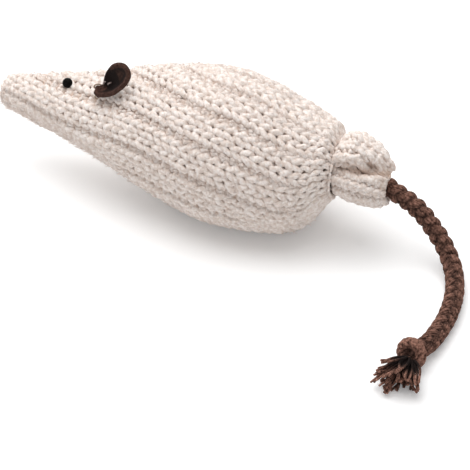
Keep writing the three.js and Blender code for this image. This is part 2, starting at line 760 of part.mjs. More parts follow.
function stitchHoles(across) {
  const points = stitchPoints(across, STITCH_DEPTH + GAP);
  const radius = STITCH_THREAD / 2 + GAP;
  const [front, back] = [points.slice(0, 2), points.slice(-2)];
  return rodBetween(...front, radius, 6).add(rodBetween(...back, radius, 6));
}

function mirrorSolid(solid) {
  const normal = MOUSE_LEFT.toArray();
  return solid.translate([0, 0, -AXIS_HEIGHT]).mirror(normal).translate([0, 0, AXIS_HEIGHT]);
}

// Eyes, and the thread between them through the head
const eyePlace = bodyAt(EYE_STATION);
const eyeLeft = around(MOUSE_TOP - EYE_AROUND, eyePlace.radius + EYE_PROUD, eyePlace.x);
const eyeRight = mirrored(eyeLeft);
const eyeLine = eyeRight.clone().sub(eyeLeft).normalize();
const eyeThreadReach = EYE_RADIUS - EYE_HOLE_DEPTH + GAP;

function eyeThreadRod(reach, radius) {
  const start = eyeLeft.clone().addScaledVector(eyeLine, reach);
  const end = eyeRight.clone().addScaledVector(eyeLine, -reach);
  return rodBetween(start, end, radius, 8);
}

function eyeSolid(centre) {
  const hole = eyeThreadRod(EYE_RADIUS - EYE_HOLE_DEPTH, EYE_THREAD / 2 + GAP);
  return ballAt(centre, EYE_RADIUS, 12).subtract(hole);
}

// Materials
function finish(colour, roughness) {
  return new THREE.MeshStandardMaterial({ color: colour, roughness, metalness: 0 });
}

const KNIT = finish(0xded2c8, 0.95);
const FELT = finish(0x3c2821, 0.9);
const CORD = finish(0x4b3028, 0.85);
const THREAD = finish(0x57402f, 0.7);
const BEAD = finish(0x0f0a0a, 0.2);
const FIBRE = finish(0xf2efe8, 1);
const MUSLIN = finish(0xe6dcc4, 0.9);
const LEAF = finish(0x6f7a4a, 1);

// The assembly
const mouse = new THREE.Group();

function addPiece(name, solid, material) {
  const mesh = new THREE.Mesh(toGeometry(solid), material);
  mesh.name = name;
  mouse.add(mesh);
}

const stitchSides = { front: -STITCH_SPACING / 2, back: STITCH_SPACING / 2 };
const seam = seamPoints();
const seamSteps = seam.length - 1;
let cover = coverSolid()
  .subtract(tubeThrough(seam, SEAM_YARN + GAP * 2, 6, seamSteps))
  .subtract(eyeThreadRod(0, EYE_THREAD / 2 + GAP));
for (const centre of [eyeLeft, eyeRight]) {
  cover = cover.subtract(ballAt(centre, EYE_RADIUS + GAP, 12));
}
for (const across of Object.values(stitchSides)) {
  const holes = stitchHoles(across);
  cover = cover.subtract(holes).subtract(mirrorSolid(holes));
}
const wad = wadSolid().subtract(eyeThreadRod(0, EYE_THREAD / 2 + GAP));
const ear = earSolid();
const knot = knotSolid();
const knotBox = knot.boundingBox();
const knotHeight = (knotBox.min[2] + knotBox.max[2]) / 2;
const knotReach = (knotBox.max[1] - knotBox.min[1]) / 2 + TASSEL_CLEARANCE;

addPiece('body_cover', cover, KNIT);
addPiece('back_seam_yarn', tubeThrough(seam, SEAM_YARN, 6, seamSteps), KNIT);
addPiece('neck_tie', tieSolid(), THREAD);
addPiece('tail_ruff', ruffSolid(), KNIT);
addPiece('stuffing_front', wad.intersect(halfSpace(-1)), FIBRE);
addPiece('stuffing_rear', wad.intersect(halfSpace(1)), FIBRE);
addPiece('catnip_sachet', sachetSolid(), MUSLIN);
addPiece('catnip_fill', catnipSolid(), LEAF);
addPiece('ear_left', ear, FELT);
addPiece('ear_right', mirrorSolid(ear), FELT);
for (const [end, across] of Object.entries(stitchSides)) {
  const stitch = stitchSolid(across);
  addPiece(`ear_stitch_left_${end}`, stitch, THREAD);
  addPiece(`ear_stitch_right_${end}`, mirrorSolid(stitch), THREAD);
}
addPiece('eye_left', eyeSolid(eyeLeft), BEAD);
addPiece('eye_right', eyeSolid(eyeRight), BEAD);
addPiece('eye_thread', eyeThreadRod(eyeThreadReach, EYE_THREAD / 2), THREAD);
addPiece('tail_anchor', tailAnchorSolid(), CORD);
addPiece('tail_root', tailRootSolid(), CORD);
addPiece('tail_cord', tailCordSolid(), CORD);
addPiece('tail_end_knot', knot, CORD);
addPiece('tail_tassel', tasselSolid(knotHeight, knotReach), CORD);

export default mouse;
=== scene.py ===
"""Knits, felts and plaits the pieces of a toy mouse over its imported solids, and lights them."""

import json
import math

import bmesh
import bpy
import numpy as np
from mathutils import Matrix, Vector


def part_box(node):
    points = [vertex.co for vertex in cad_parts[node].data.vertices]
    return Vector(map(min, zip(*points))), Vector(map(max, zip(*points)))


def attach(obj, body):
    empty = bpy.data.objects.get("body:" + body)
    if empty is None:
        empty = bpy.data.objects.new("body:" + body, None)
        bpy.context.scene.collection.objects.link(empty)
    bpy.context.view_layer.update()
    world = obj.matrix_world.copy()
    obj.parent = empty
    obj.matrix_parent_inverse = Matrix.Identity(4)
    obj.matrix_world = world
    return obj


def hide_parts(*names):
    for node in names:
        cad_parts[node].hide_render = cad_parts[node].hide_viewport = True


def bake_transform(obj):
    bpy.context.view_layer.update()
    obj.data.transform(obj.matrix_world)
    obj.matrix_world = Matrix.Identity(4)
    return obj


bl_info = {
    "name": "Catnip Mouse",
    "version": (1, 0, 0),
    "blender": (4, 5, 0),
    "location": "3D View > Sidebar > Catnip Mouse",
    "description": "Knits, felts and plaits the pieces of a toy mouse over its packed solids",
    "category": "Mesh",
}

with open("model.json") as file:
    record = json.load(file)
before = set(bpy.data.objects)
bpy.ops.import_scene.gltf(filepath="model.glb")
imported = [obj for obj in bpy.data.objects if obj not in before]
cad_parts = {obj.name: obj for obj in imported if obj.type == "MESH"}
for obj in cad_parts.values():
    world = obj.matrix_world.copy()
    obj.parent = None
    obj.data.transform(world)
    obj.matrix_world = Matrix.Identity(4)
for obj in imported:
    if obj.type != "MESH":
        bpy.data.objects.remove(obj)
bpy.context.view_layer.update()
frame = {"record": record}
JOINTS = {joint["name"]: joint for joint in frame["record"]["behaviour"]["joints"]}
NECK = np.array(JOINTS["ruff_flop"]["pos_m"])
TAIL_BEND = np.array(JOINTS["tail_swing"]["pos_m"])
AXIS_HEIGHT = NECK[2]
FULL_TURN = 2 * math.pi

# The body as the solids have it, in metres: distance from the nose tip, radius
NOSE_X = -0.076
NOSE_ROUND = ((0.0, 0.0026), (0.0004, 0.0042), (0.0013, 0.0053))
BODY_OUTLINE = (
    (0.0026, 0.006),
    (0.024, 0.0112),
    (0.037, 0.015),
    (0.056, 0.021),
    (0.076, 0.0245),
    (0.096, 0.0213),
    (0.1068, 0.0146),
    (0.109, 0.0074),
)
BELLY_STATION, BODY_END = BODY_OUTLINE[4][0], BODY_OUTLINE[-1][0]
COLLAR = (0.1128, 0.0074)
SAG, SAG_RISE, SAG_RETURN = 0.0038, 4, 18
DROOP, DROOP_STATION, DROOP_REACH, DROOP_POWER = 0.0022, 0.062, 0.016, 8
BELLY_TURN = math.radians(-50)  # where the belly's middle line runs, from -Y over +Z
NOSE_SLOPE = 0.225  # the head's taper, carried on in front of the nose

# How the ribs lie on the body, counted in ribs from the belly line
RIBS = 14
RIB_SHIFT, RIB_MEET = 0.23, 1.2
FRONT_BEND, FRONT_FROM, FRONT_TO = 0.82, 0.060, 0.022
REAR_BEND, REAR_FROM, REAR_POWER = 0.95, 0.070, 1.6
BEND_FADE, BEND_FADE_RIBS = 1.25, 5.6

# A stitch on its front and its back: swing in rows, lift, how far it is sunk, thickness and its swell
STITCH_STEPS = 12
KNIT_SWING, KNIT_LIFT, KNIT_SINK, KNIT_THICK, KNIT_SWELL = 0.72, -1.3, 0.3, 0.9, -0.1
PURL_SWING, PURL_LIFT, PURL_SINK, PURL_THICK, PURL_SWELL = 1.0, 2, 0.6, 0.5, 0.22
PURL_LEAN = 0.08
STITCH_SOFTEN = (0.2, 0.6, 0.2)

# How the cover's rows lie over the skin
KNIT_STAND = 0.0003
VALLEY_EDGE = (0.72, 1.12)  # where a valley starts and is deep, in columns from the rib's middle
RIB_SPLIT, RIB_SPLIT_WIDTH = 0.0002, 0.0005  # the dent between a rib's two columns
ROWS_AHEAD, ROWS_SHORT, NOSE_EDGE = 0.03, 0.002, 0.0002  # where rows start, end and are cut at the nose
ROW_UNEVEN, COLUMN_UNEVEN, HEIGHT_UNEVEN, YARN_UNEVEN = 0.00016, 0.00012, 0.00012, 0.08
GATHER = (0.8, 0.4)  # the rear gathers between these shares of the widest radius
GATHER_FLATTEN, GATHER_DEEPEN, GATHER_WIDEST = 0.2, 1.2, 0.47
PUFFS = ((0.0016, 0.018, 0.034), (0.0022, 0.032, 0.039))  # height, start and end behind the belly
REAR_THIN = (0.2, 1.05, 0.5)  # yarn at no width, what full width adds, and the least
FRONT_THIN = (0.4, 0.7, 0.6)
SPREAD_STEP = 0.03  # ribs to each side over which the cloth's width is measured
FLOOR_GAP = 0.0001
BODY_PAINTED_SHADE = (0.0009, 0.0021)  # depth where the knit's painted shade starts, and where it is darkest
# GROUND_SHADE is the painted shade on the ground sheet under the knit
GROUND_FROM, GROUND_DEPTH, GROUND_FLOOR, GROUND_SHADE = 0.0012, 0.0021, 0.0012, 0.9
FIBRE_ROOT, FIBRE_EAR_GAP, FIBRE_NECK_GAP = 0.45, 0.017, 0.008
NOSE_COIL = (0.0036, 0.0002)  # radius of the drawn-up yarn from its start to its end
NOSE_COIL_TURNS, NOSE_COIL_SET, NOSE_COIL_DRAW, NOSE_COIL_THICK = 2.4, 0.0009, 0.0006, 0.85
NOSE_PUFF, NOSE_PUFFS = 0.0003, 9
SEAM_FROM, SEAM_SHORT, SEAM_STITCH = 0.007, 0.012, 0.8
SEAM_DEPTH, SEAM_DIP, SEAM_WIDTH, SEAM_UNEVEN = 0.0011, 0.0012, 0.0032, 0.0001
# SEAM_SHADE is the painted shade on the seam yarn sunk between the rows
SEAM_YARN, SEAM_SHADE, SEAM_STEPS = 0.0012, 0.25, 9

# The ruff from the neck: back and reach of its upper and its lower lobe, then crease and mouth shares
RUFF_TILT = math.radians(4)
RUFF_OUTLINE = (
    (-0.001, 0.005, -0.001, 0.005, 0.0, 0.0),
    (-0.0026, 0.007, -0.0022, 0.0068, 0.1, 0.0),
    (-0.002, 0.0094, -0.0012, 0.0082, 0.6, 0.0),
    (0.0006, 0.0117, 0.0016, 0.0092, 0.95, 0.0),
    (0.0036, 0.0124, 0.0048, 0.0097, 1.0, 0.0),
    (0.0066, 0.0117, 0.008, 0.0094, 1.0, 0.0),
    (0.0096, 0.0106, 0.011, 0.0086, 1.0, 0.0),
    (0.0122, 0.0093, 0.0132, 0.0074, 1.0, 0.05),
    (0.0141, 0.008, 0.0146, 0.0062, 1.0, 0.35),
    (0.0143, 0.0062, 0.0148, 0.0054, 1.0, 0.75),
    (0.013, 0.005, 0.0134, 0.0046, 1.0, 1.0),
    (0.0096, 0.005, 0.0098, 0.0045, 1.0, 1.0),
    (0.0062, 0.005, 0.0065, 0.0045, 1.0, 1.0),
)
RUFF_OUTLINE_STEPS = 8
RUFF_WIDEST = 4  # the outline's row where the ruff is widest
NEAR_CREASE = ((0.001, 0.0075, 0.011, 0.015), np.radians((39, 46, 62, 84)))  # turns as it goes back
NEAR_CREASE_WIDTH = math.radians(9)
NEAR_CREASE_FRONT, NEAR_CREASE_REAR = 0.003, 0.0056
NEAR_CREASE_DEEPENS, NEAR_CREASE_STARTS = (0.002, 0.013), (-0.002, 0.006)
CREASE_FLOOR = 0.0042  # least reach left over the tail
FAR_CREASE, FAR_CREASE_DEPTH, FAR_CREASE_WIDTH = math.radians(228), 0.0018, math.radians(26)
LOBE_EDGE = math.radians(10)
RUFF_RIM = (0.006, 0.0145)  # the rim's own shape grows between these distances
RUFF_TIP, RUFF_TIP_LENGTH, RUFF_TIP_WIDTH = math.radians(108), 0.0016, math.radians(20)
RUFF_TIP_STAND = 0.0006
FAR_RIM, FAR_RIM_SHORTER, FAR_RIM_WIDTH = math.radians(185), 0.0022, math.radians(42)
MOUTH_RADIUS = 0.0041
RUFF_DROP = ((0.004, 0.0087, 0.0117, 0.0147, 0.018), (0.0, 0.001, 0.002, 0.0035, 0.0055))

# How the ruff's rows lie over its skin
RUFF_VALLEY, RUFF_VALLEY_EDGE = 0.0003, (0.36, 0.6)
RUFF_RELIEF, RUFF_SINK, RUFF_UNEVEN, RUFF_FIRST = 0.0004, 0.0011, 0.0002, 0.6
RUFF_END = 0.0002  # left free at both ends of its outline
RUFF_NARROW, RUFF_NARROW_YARN = (0.0045, 0.0085), 0.6
MOUTH_FLATTEN, MOUTH_RISE, MOUTH_THIN = 0.7, 0.6, 0.25
# Painted shade: RUFF_GROUND_SHADE on the ruff's ground, RUFF_INSIDE_SHADE on yarn near the tail in the
# mouth, CREASE_SHADE in the near crease
RUFF_GROUND_DEPTH, RUFF_GROUND_SHADE = 0.0018, 0.7
RUFF_INSIDE, RUFF_INSIDE_SHADE, CREASE_SHADE = (0.0075, 0.005), 0.3, 0.9
TIE_TURNS, TIE_STEPS, TIE_RADIUS, TIE_UNEVEN = 2.4, 160, 0.0062, 0.00014
TIE_AHEAD, TIE_LENGTH, TIE_THREAD = 0.0036, 0.0018, 0.0008

# The tail's route from its bend in the ruff to the end knot
TAIL_ROUTE = [
    tuple(TAIL_BEND),
    (0.0497, -0.0002, 0.0247),
    (0.0527, -0.0005, 0.0234),
    (0.0561, -0.0006, 0.0217),
    (0.0601, -0.0004, 0.0193),
    (0.064, -0.0006, 0.0162),
    (0.0675, -0.0014, 0.0128),
    (0.0707, -0.0026, 0.0097),
    (0.0735, -0.0046, 0.007),
    (0.0761, -0.0077, 0.0048),
    (0.0781, -0.0118, 0.0037),
    (0.0795, -0.0165, 0.0032),
    (0.0804, -0.0218, 0.0032),
    (0.0807, -0.0266, 0.0032),
    (0.0806, -0.0307, 0.0032),
    (0.0802, -0.0353, 0.0033),
    (0.0796, -0.0395, 0.0036),
    (0.0788, -0.0432, 0.0041),
]
TAIL_INSIDE = (-0.35, 0.85)  # its stretch in the ruff, in shares of the way from the neck to its bend
TAIL_STEPS = 320
PLAIT_FACE = np.array([0.28, -0.71, 0.64])  # where the plait's flat side looks along the floor
PLAIT_ROLL, PLAIT_ROLL_FROM, PLAIT_ROLL_END = math.radians(-42), 0.18, 0.055  # turned at the ruff only
STRAND_LAY, STRAND_YARN, STRAND_CORE, STRAND_UNEVEN = 0.0105, 0.25, 2.4, 0.06
# PLAIT_SHADE is the painted shade towards the plait's middle line, between its strands
PLAIT_SHADE = 0.72
ROPE_YARN, ROPE_CORE, ROPE_UNEVEN = 0.36, 1.2, 0.06
KNOT_MIDDLE = np.array([0.0761, -0.0485, 0.0047])
KNOT_AXIS = np.array([-0.18, -0.93, 0.33])
KNOT_ENTRY = 0.0006  # how far along its axis the cord goes into the knot
KNOT_RING, KNOT_BAND, KNOT_YARNS, KNOT_LAY = 0.0031, 0.0037, 7, 0.013
KNOT_TURNS, KNOT_START, KNOT_LENGTH, KNOT_DRAWN = 1.34, 0.45, 0.0022, 0.35
TASSEL_HEADING, TASSEL_DROP = math.radians(-97), math.radians(11)
TASSEL_SET = np.array([0.0002, -0.0014, -0.0004])  # where the threads leave the ring
TASSEL_ROOT, TASSEL_WIDTH, TASSEL_FAN = 0.0014, 0.0017, math.radians(55)
TASSEL_LOOSE, TASSEL_BOW, TASSEL_STRAIGHT, TASSEL_CURL = 0.0003, 0.0008, 0.3, 1.35
ANCHOR_FROM, ANCHOR_TO, ANCHOR_ROPE = -0.0165, -0.0052, 0.0044
ANCHOR_KNOT, ANCHOR_KNOT_ROPE, ANCHOR_KNOT_SPREAD, ANCHOR_KNOT_RISE = 0.0155, 0.0034, 0.0009, 0.0011
ANCHOR_YARNS, ANCHOR_LAY = 5, 0.009

# An ear's rim along, across and out of its cup from the sewn base, then its middle
EAR_RIM = (
    (0.0046, -0.0012, 0.001),
    (0.007, -0.003, 0.001),
    (0.0102, -0.0037, 0.0012),
    (0.0132, -0.0029, 0.0014),
    (0.0151, -0.0011, 0.0014),
    (0.0152, 0.0015, 0.0012),
    (0.0138, 0.0031, 0.0014),
    (0.0101, 0.004, 0.0018),
    (0.0057, 0.0039, 0.0022),
    (0.0023, 0.0026, 0.0024),
    (0.0002, 0.0011, 0.0023),
    (-0.0002, -0.0003, 0.0021),
    (0.0012, -0.0004, 0.0019),
    (0.0029, -0.0001, 0.0008),
)
EAR_RIM_STEPS = 12
EAR_MIDDLE = np.array([0.0062, 0.0009, -0.0003])
# EAR_HOLLOW is where the painted shade in the cup's hollow is darkest
EAR_HOLLOW = np.array([0.0072, -0.0004, 0.0008])
EAR_CUP, EAR_RIPPLE, EAR_RIPPLES, EAR_RIPPLE_START = 2.2, 0.00016, 5, 1.3
# Reaches and strengths of the painted shade in the ear: round its hollow, over its inside and in a band
# inside the rim, leaving the rim's edge lighter as if lit
EAR_HOLLOW_REACH, EAR_EDGE_REACH, EAR_FOLD_REACH = 0.0042, 0.0018, 0.0034
EAR_INSIDE_SHADE, EAR_FOLD_SHADE = 0.4, 0.5
EAR_ALONG, EAR_OUT = (0.68, 0.077, 0.729), (-0.247, -0.912, 0.327)  # from its base, out of its cup
BODY_ROLL = math.radians(40)  # how far the toy lies rolled on its side
FAR_EAR_STAND = 0.0008  # the far ear is sewn a little higher on its base
EAR_SEWING = (
    ((0.0042, -0.0005, 0.0012), (0.0049, -0.0008, 0.0015), (0.0055, -0.0009, 0.0009)),
    ((0.0053, 0.0004, 0.0009), (0.006, 0.0003, 0.0013), (0.0068, 0.0005, 0.0008)),
)
STEM_THICKNESS, STEM_ROLL_THIN, STEM_FEET_THIN = 0.0018, 0.85, (0.85, 0.72)
STEM_FEET, STEM_FOOT_PLACE = (-1, -0.35, 0.35, 1), 0.0008
STEM_TOP, STEM_TOP_SPREAD = (0.0042, 0.0008, 0.0002), np.array([0, 0.001, 0])
STITCH_PLACE, STITCH_TUCK = 0.00195, 0.35
EYE_FLAT, EYE_DIMPLE, EYE_DIMPLE_WIDTH = 0.94, 0.22, 0.2

# The filling
WAD_FROM, WAD_SHORT, WAD_GAP, WAD_DEPTH = 0.006, 0.012, 0.0006, 0.0036
WAD_LUMPS, WAD_ROUND, WAD_FLOOR, WAD_LEAST = 0.05, 0.35, 0.0032, 0.0004
POUCH_PLEATS, POUCH_PLEAT, POUCH_FLAT = 16, 0.06, 0.93
LEAF_SHARE, LEAF_CRUMBLE = 0.84, 0.035

# Light, as name, place, size and power
LAMPS = (
    ("key", (-0.5, 0.25, 0.95), 1.5, 9.4),
    ("fill", (0.5, -0.9, 0.7), 0.9, 0.7),
    ("top", (0.0, 0.0, 1.2), 1.2, 7.4),
)
WORLD_LIGHT = 0.34
FLOOR_LIFT_SPAN = (0.16, 0.6)  # the floor turns white between these distances from the toy
FLOOR_HALF = 4


# Lines and places


def unit(vectors):
    """The same directions at length one."""
    vectors = np.asarray(vectors, float)
    return vectors / np.linalg.norm(vectors, axis=-1, keepdims=True)


def smooth_line(points, steps):
    """A smooth line through the points, with this many steps between each two."""
    points = np.asarray(points, float)
    padded = np.concatenate([points[:1], points, points[-1:]])
    share = np.linspace(0, 1, steps, endpoint=False)[:, None]
    spans = []
    for i in range(len(points) - 1):
        before, start, end, after = padded[i : i + 4]
        lead, trail = (end - before) / 2, (after - start) / 2
        cubic = (2 * start - 2 * end + lead + trail) * share**3
        square = (-3 * start + 3 * end - 2 * lead - trail) * share**2
        spans.append(cubic + square + lead * share + start)
    return np.concatenate([*spans, points[-1:]])


def along(line):
    """Distance along a line at each of its points."""
    return np.concatenate([[0], np.cumsum(np.linalg.norm(np.diff(line, axis=0), axis=1))])


def evened(line, count):
    """The same line with evenly spaced points."""
    at = along(line)
    places = np.linspace(0, at[-1], count)
    return np.stack([np.interp(places, at, column) for column in line.T], axis=1)


def side_frames(line):
    """Unit vectors along, beside and over a line, carried along it without twist."""
    forward = unit(np.gradient(line, axis=0))
    over = np.zeros_like(line)
    last = np.array([0.0, 0.0, 1.0])
    for i, heading in enumerate(forward):
        last = unit(last - heading * (last @ heading))
        over[i] = last
    return forward, np.cross(over, forward), over


def smooth_step(low, high, value):
    """A smooth rise from 0 at low to 1 at high."""
    share = np.clip((value - low) / (high - low), 0, 1)
    return share * share * (3 - 2 * share)


def wobble(count, reach, stretch, seed):
    """Gentle seeded unevenness along a strand."""
    knots = max(int(count / stretch) + 2, 4)
    values = np.random.default_rng(seed).normal(0, reach, knots)
    return np.interp(np.linspace(0, knots - 1, count), np.arange(knots), values)


# The body's surface

SKIN = np.concatenate([NOSE_ROUND, smooth_line(BODY_OUTLINE, 40), [COLLAR]])
SKIN_AT = along(SKIN)
SKIN_RADIUS = float(SKIN[:, 1].max())
SKIN_SLOPE = unit(np.gradient(SKIN, SKIN_AT, axis=0))
NOSE_AT = float(SKIN_AT[len(NOSE_ROUND)])
BELLY_AT = float(SKIN_AT[int(SKIN[:, 1].argmax())])


def sag_at(station):
    """How far the whole section hangs down at a distance from the nose."""
    share = np.clip(station / BODY_END, 0, 1)
    peak = SAG_RISE / (SAG_RISE + SAG_RETURN)
    greatest = peak ** (SAG_RISE / SAG_RETURN) * (1 - peak)
    return SAG * share**SAG_RISE * (1 - share**SAG_RETURN) / greatest


def droop_at(station):
    """How far the underside alone hangs down."""
    share = np.clip(np.abs(station - DROOP_STATION) / DROOP_REACH, 0, 1)
    return DROOP * (1 - share**2) ** 2


def hung(x, y, z):
    """A point of the round body, let down as the stuffed body sags."""
    station = x - NOSE_X
    down = AXIS_HEIGHT - z
    out = np.maximum(np.hypot(y, down), 1e-6)
    radius = np.interp(station, SKIN[:, 0], SKIN[:, 1])
    droop = droop_at(station) * np.clip(down / out, 0, 1) ** DROOP_POWER * out / radius
    return np.stack([x, y, z - droop - sag_at(station)], axis=-1)


def on_body(at, turn, height):
    """Place at a distance along the outline, turned from the belly line, this high over the skin."""
    station, radius = (np.interp(at, SKIN_AT, column) for column in SKIN.T)
    lean, rise = (np.interp(at, SKIN_AT, column) for column in SKIN_SLOPE.T)
    angle = BELLY_TURN + turn
    reach = radius + lean * height
    x = NOSE_X + station - rise * height
    return hung(x, -reach * np.cos(angle), AXIS_HEIGHT + reach * np.sin(angle))


def body_depth(points):
    """How deep points lie under the body's skin."""
    station = points[:, 0] - NOSE_X
    radius = np.interp(station, SKIN[:, 0], SKIN[:, 1])
    slope = np.interp(station, SKIN[:, 0], SKIN_SLOPE[:, 0])
    height = points[:, 2] - AXIS_HEIGHT + sag_at(station)
    return (radius - np.hypot(points[:, 1], height)) * slope


def rib_count(station, radius, turn):
    """Ribs from the belly line: ahead of the belly they run beside its outline, then to the neck."""
    share = np.where(station < BELLY_STATION, radius / SKIN_RADIUS, 1)
    count = np.arccos(np.clip(1 - share * (1 - np.cos(turn)), -1, 1)) * RIBS / FULL_TURN
    ahead = smooth_step(0, FRONT_FROM - FRONT_TO, FRONT_FROM - station)
    behind = np.clip(station - REAR_FROM, 0, None) / (BODY_END - REAR_FROM)
    bend = FRONT_BEND * ahead + REAR_BEND * behind**REAR_POWER
    fade = np.clip(BEND_FADE - count / BEND_FADE_RIBS, 0, 1)
    return count + (RIB_SHIFT + bend * fade) * smooth_step(0, RIB_MEET, count)


class RibCloth:
    """The rib cloth laid on the body, looked up by rib and by row from the widest section."""

    STEP, RIB_STEP, TURNS = 0.0005, 0.04, 361
    AHEAD = 0.11  # rows are looked up from this far ahead of the widest section
    NOSE_AHEAD, NOSE_LEAST = 0.012, 0.002  # the cloth in front of the nose, and its least radius
    PAST_BACK = 1.4 * math.pi  # turn of the ribs that would lie past the back

    def __init__(self):
        self.ribs = np.arange(0, RIBS / 2 + 1, self.RIB_STEP)
        self.rows = np.arange(-self.AHEAD, SKIN_AT[-1] - BELLY_AT + self.STEP, self.STEP)
        front = np.arange(NOSE_AT - self.NOSE_AHEAD, BELLY_AT, self.STEP)
        place = np.concatenate([front, np.arange(BELLY_AT, SKIN_AT[-1], self.STEP)])
        station = np.interp(place, SKIN_AT, SKIN[:, 0])
        nose = np.maximum(BODY_OUTLINE[0][1] + NOSE_SLOPE * (place - NOSE_AT), self.NOSE_LEAST)
        radius = np.where(place < NOSE_AT, nose, np.interp(place, SKIN_AT, SKIN[:, 1]))
        turn = np.linspace(0, math.pi, self.TURNS)
        swing = []
        for where, size in zip(station, radius):
            count = rib_count(where, size, turn)
            swing.append(np.interp(self.ribs, [*count, count[-1] + 1], [*turn, self.PAST_BACK]))
        swing = np.array(swing)
        self.at, self.turn = [], []
        for column in swing.T:
            step = np.hypot(np.diff(place), radius[1:] * np.diff(column))
            row = np.concatenate([[0], np.cumsum(step)])
            row -= row[len(front)]
            self.at.append(np.interp(self.rows, row, place, left=-1, right=1))
            self.turn.append(np.interp(self.rows, row, column))
        self.at, self.turn = np.array(self.at), np.array(self.turn)

    def place(self, rib, row):
        """Distance along the outline and turn from the belly line for a point of the cloth."""
        side = np.clip(np.abs(rib) / self.RIB_STEP, 0, len(self.ribs) - 1.001)
        front = np.clip((row - self.rows[0]) / self.STEP, 0, len(self.rows) - 1.001)
        i, j = side.astype(int), front.astype(int)
        u, v = side - i, front - j
        found = []
        for grid in (self.at, self.turn):
            near = grid[i, j] * (1 - v) + grid[i, j + 1] * v
            far = grid[i + 1, j] * (1 - v) + grid[i + 1, j + 1] * v
            found.append(near * (1 - u) + far * u)
        return found[0], found[1] * np.sign(rib)


# The ruff's surface

RUFF_LINE = smooth_line(RUFF_OUTLINE, RUFF_OUTLINE_STEPS)
RUFF_MOUTH = RUFF_LINE[:, 5]
RUFF_BACK = (RUFF_LINE[:, 0] + RUFF_LINE[:, 2]) / 2
RUFF_REACH = (RUFF_LINE[:, 1] + RUFF_LINE[:, 3]) / 2 * (1 - RUFF_MOUTH) + MOUTH_RADIUS * RUFF_MOUTH
RUFF_AT = along(np.stack([RUFF_BACK, RUFF_REACH], axis=1))


def bell(angle, middle, width):
    """A smooth rise round one direction of the ruff."""
    off = (angle - middle + math.pi) % FULL_TURN - math.pi
    return np.exp(-((off / width) ** 2))


def ruff_skin(at, angle):
    """Place at a distance along the ruff's outline, turned from -Y over +Z."""
    columns = (np.interp(at, RUFF_AT, column) for column in RUFF_LINE.T)
    upper_back, upper_reach, lower_back, lower_reach, fold, mouth = columns
    crease_at = np.interp((upper_back + lower_back) / 2, *NEAR_CREASE)
    off = (angle - (crease_at + FAR_CREASE) / 2 + math.pi) % FULL_TURN - math.pi
    upper = smooth_step(-LOBE_EDGE, LOBE_EDGE, (FAR_CREASE - crease_at) / 2 - np.abs(off))
    back = lower_back + (upper_back - lower_back) * upper
    deepen = smooth_step(*NEAR_CREASE_DEEPENS, back)
    near = NEAR_CREASE_FRONT + (NEAR_CREASE_REAR - NEAR_CREASE_FRONT) * deepen
    crease = near * bell(angle, crease_at, NEAR_CREASE_WIDTH)
    crease = crease + FAR_CREASE_DEPTH * bell(angle, FAR_CREASE, FAR_CREASE_WIDTH)
    outer = lower_reach + (upper_reach - lower_reach) * upper
    outer = np.maximum(outer - fold * crease, np.minimum(outer, CREASE_FLOOR))
    rim = smooth_step(*RUFF_RIM, back)
    tip = bell(angle, RUFF_TIP, RUFF_TIP_WIDTH) * rim
    outer = outer + RUFF_TIP_STAND * tip
    reach = outer + (MOUTH_RADIUS + RUFF_TIP_STAND * tip - outer) * mouth
    shorter = FAR_RIM_SHORTER * bell(angle, FAR_RIM, FAR_RIM_WIDTH) * rim
    x = back + RUFF_TIP_LENGTH * tip - shorter
    y, z = -reach * np.cos(angle), reach * np.sin(angle) - np.interp(back, *RUFF_DROP)
    cos, sin = math.cos(RUFF_TILT), math.sin(RUFF_TILT)
    return NECK + np.stack([x * cos - z * sin, y, x * sin + z * cos], axis=-1)


def on_ruff(at, angle, height):
    """Place on the ruff this high over its skin."""
    step, turn = 1e-4, 0.01
    onward = ruff_skin(at + step, angle) - ruff_skin(at - step, angle)
    round_it = ruff_skin(at, angle + turn) - ruff_skin(at, angle - turn)
    out = np.cross(onward, round_it)
    out /= np.maximum(np.linalg.norm(out, axis=1), 1e-12)[:, None]
    return ruff_skin(at, angle) + out * np.asarray(height)[..., None]


def crease_share(points):
    """How far points lie in the ruff's near crease."""
    x, y, z = (points - NECK).T
    angle = np.arctan2(z + np.interp(x, *RUFF_DROP), -y)
    inside = bell(angle, np.interp(x, *NEAR_CREASE), NEAR_CREASE_WIDTH)
    return inside * smooth_step(*NEAR_CREASE_STARTS, x)


def mouth_share(at):
    """How far a place along the ruff's outline has turned into the mouth."""
    return smooth_step(0.0, 0.5, np.interp(at, RUFF_AT, RUFF_MOUTH))


def ruff_angles():
    """Angles evenly spaced by the way round the creased ruff."""
    angle = np.linspace(0, FULL_TURN, 721)
    widest = RUFF_AT[RUFF_WIDEST * RUFF_OUTLINE_STEPS]
    way = along(ruff_skin(np.full(len(angle), widest), angle))
    return way / way[-1], angle


# Meshes


def link(obj):
    """Puts an object into the scene."""
    bpy.context.scene.collection.objects.link(obj)
    return obj


def finish_mesh(name, mesh, material):
    """A smooth-shaded object at the origin, in one material."""
    mesh.materials.clear()
    mesh.materials.append(material)
    mesh.polygons.foreach_set("use_smooth", [True] * len(mesh.polygons))
    mesh.update()
    return link(bpy.data.objects.new(name, mesh))


def from_bmesh(name, bm, material):
    """An object of a finished bmesh, with its faces turned outwards."""
    bmesh.ops.recalc_face_normals(bm, faces=bm.faces)
    mesh = bpy.data.meshes.new(name)
    bm.to_mesh(mesh)
    bm.free()
    return finish_mesh(name, mesh, material)


def shown_mesh(obj):
    """The mesh of a curve, or of an object with its modifiers."""
    graph = bpy.context.evaluated_depsgraph_get()
    return bpy.data.meshes.new_from_object(obj.evaluated_get(graph))


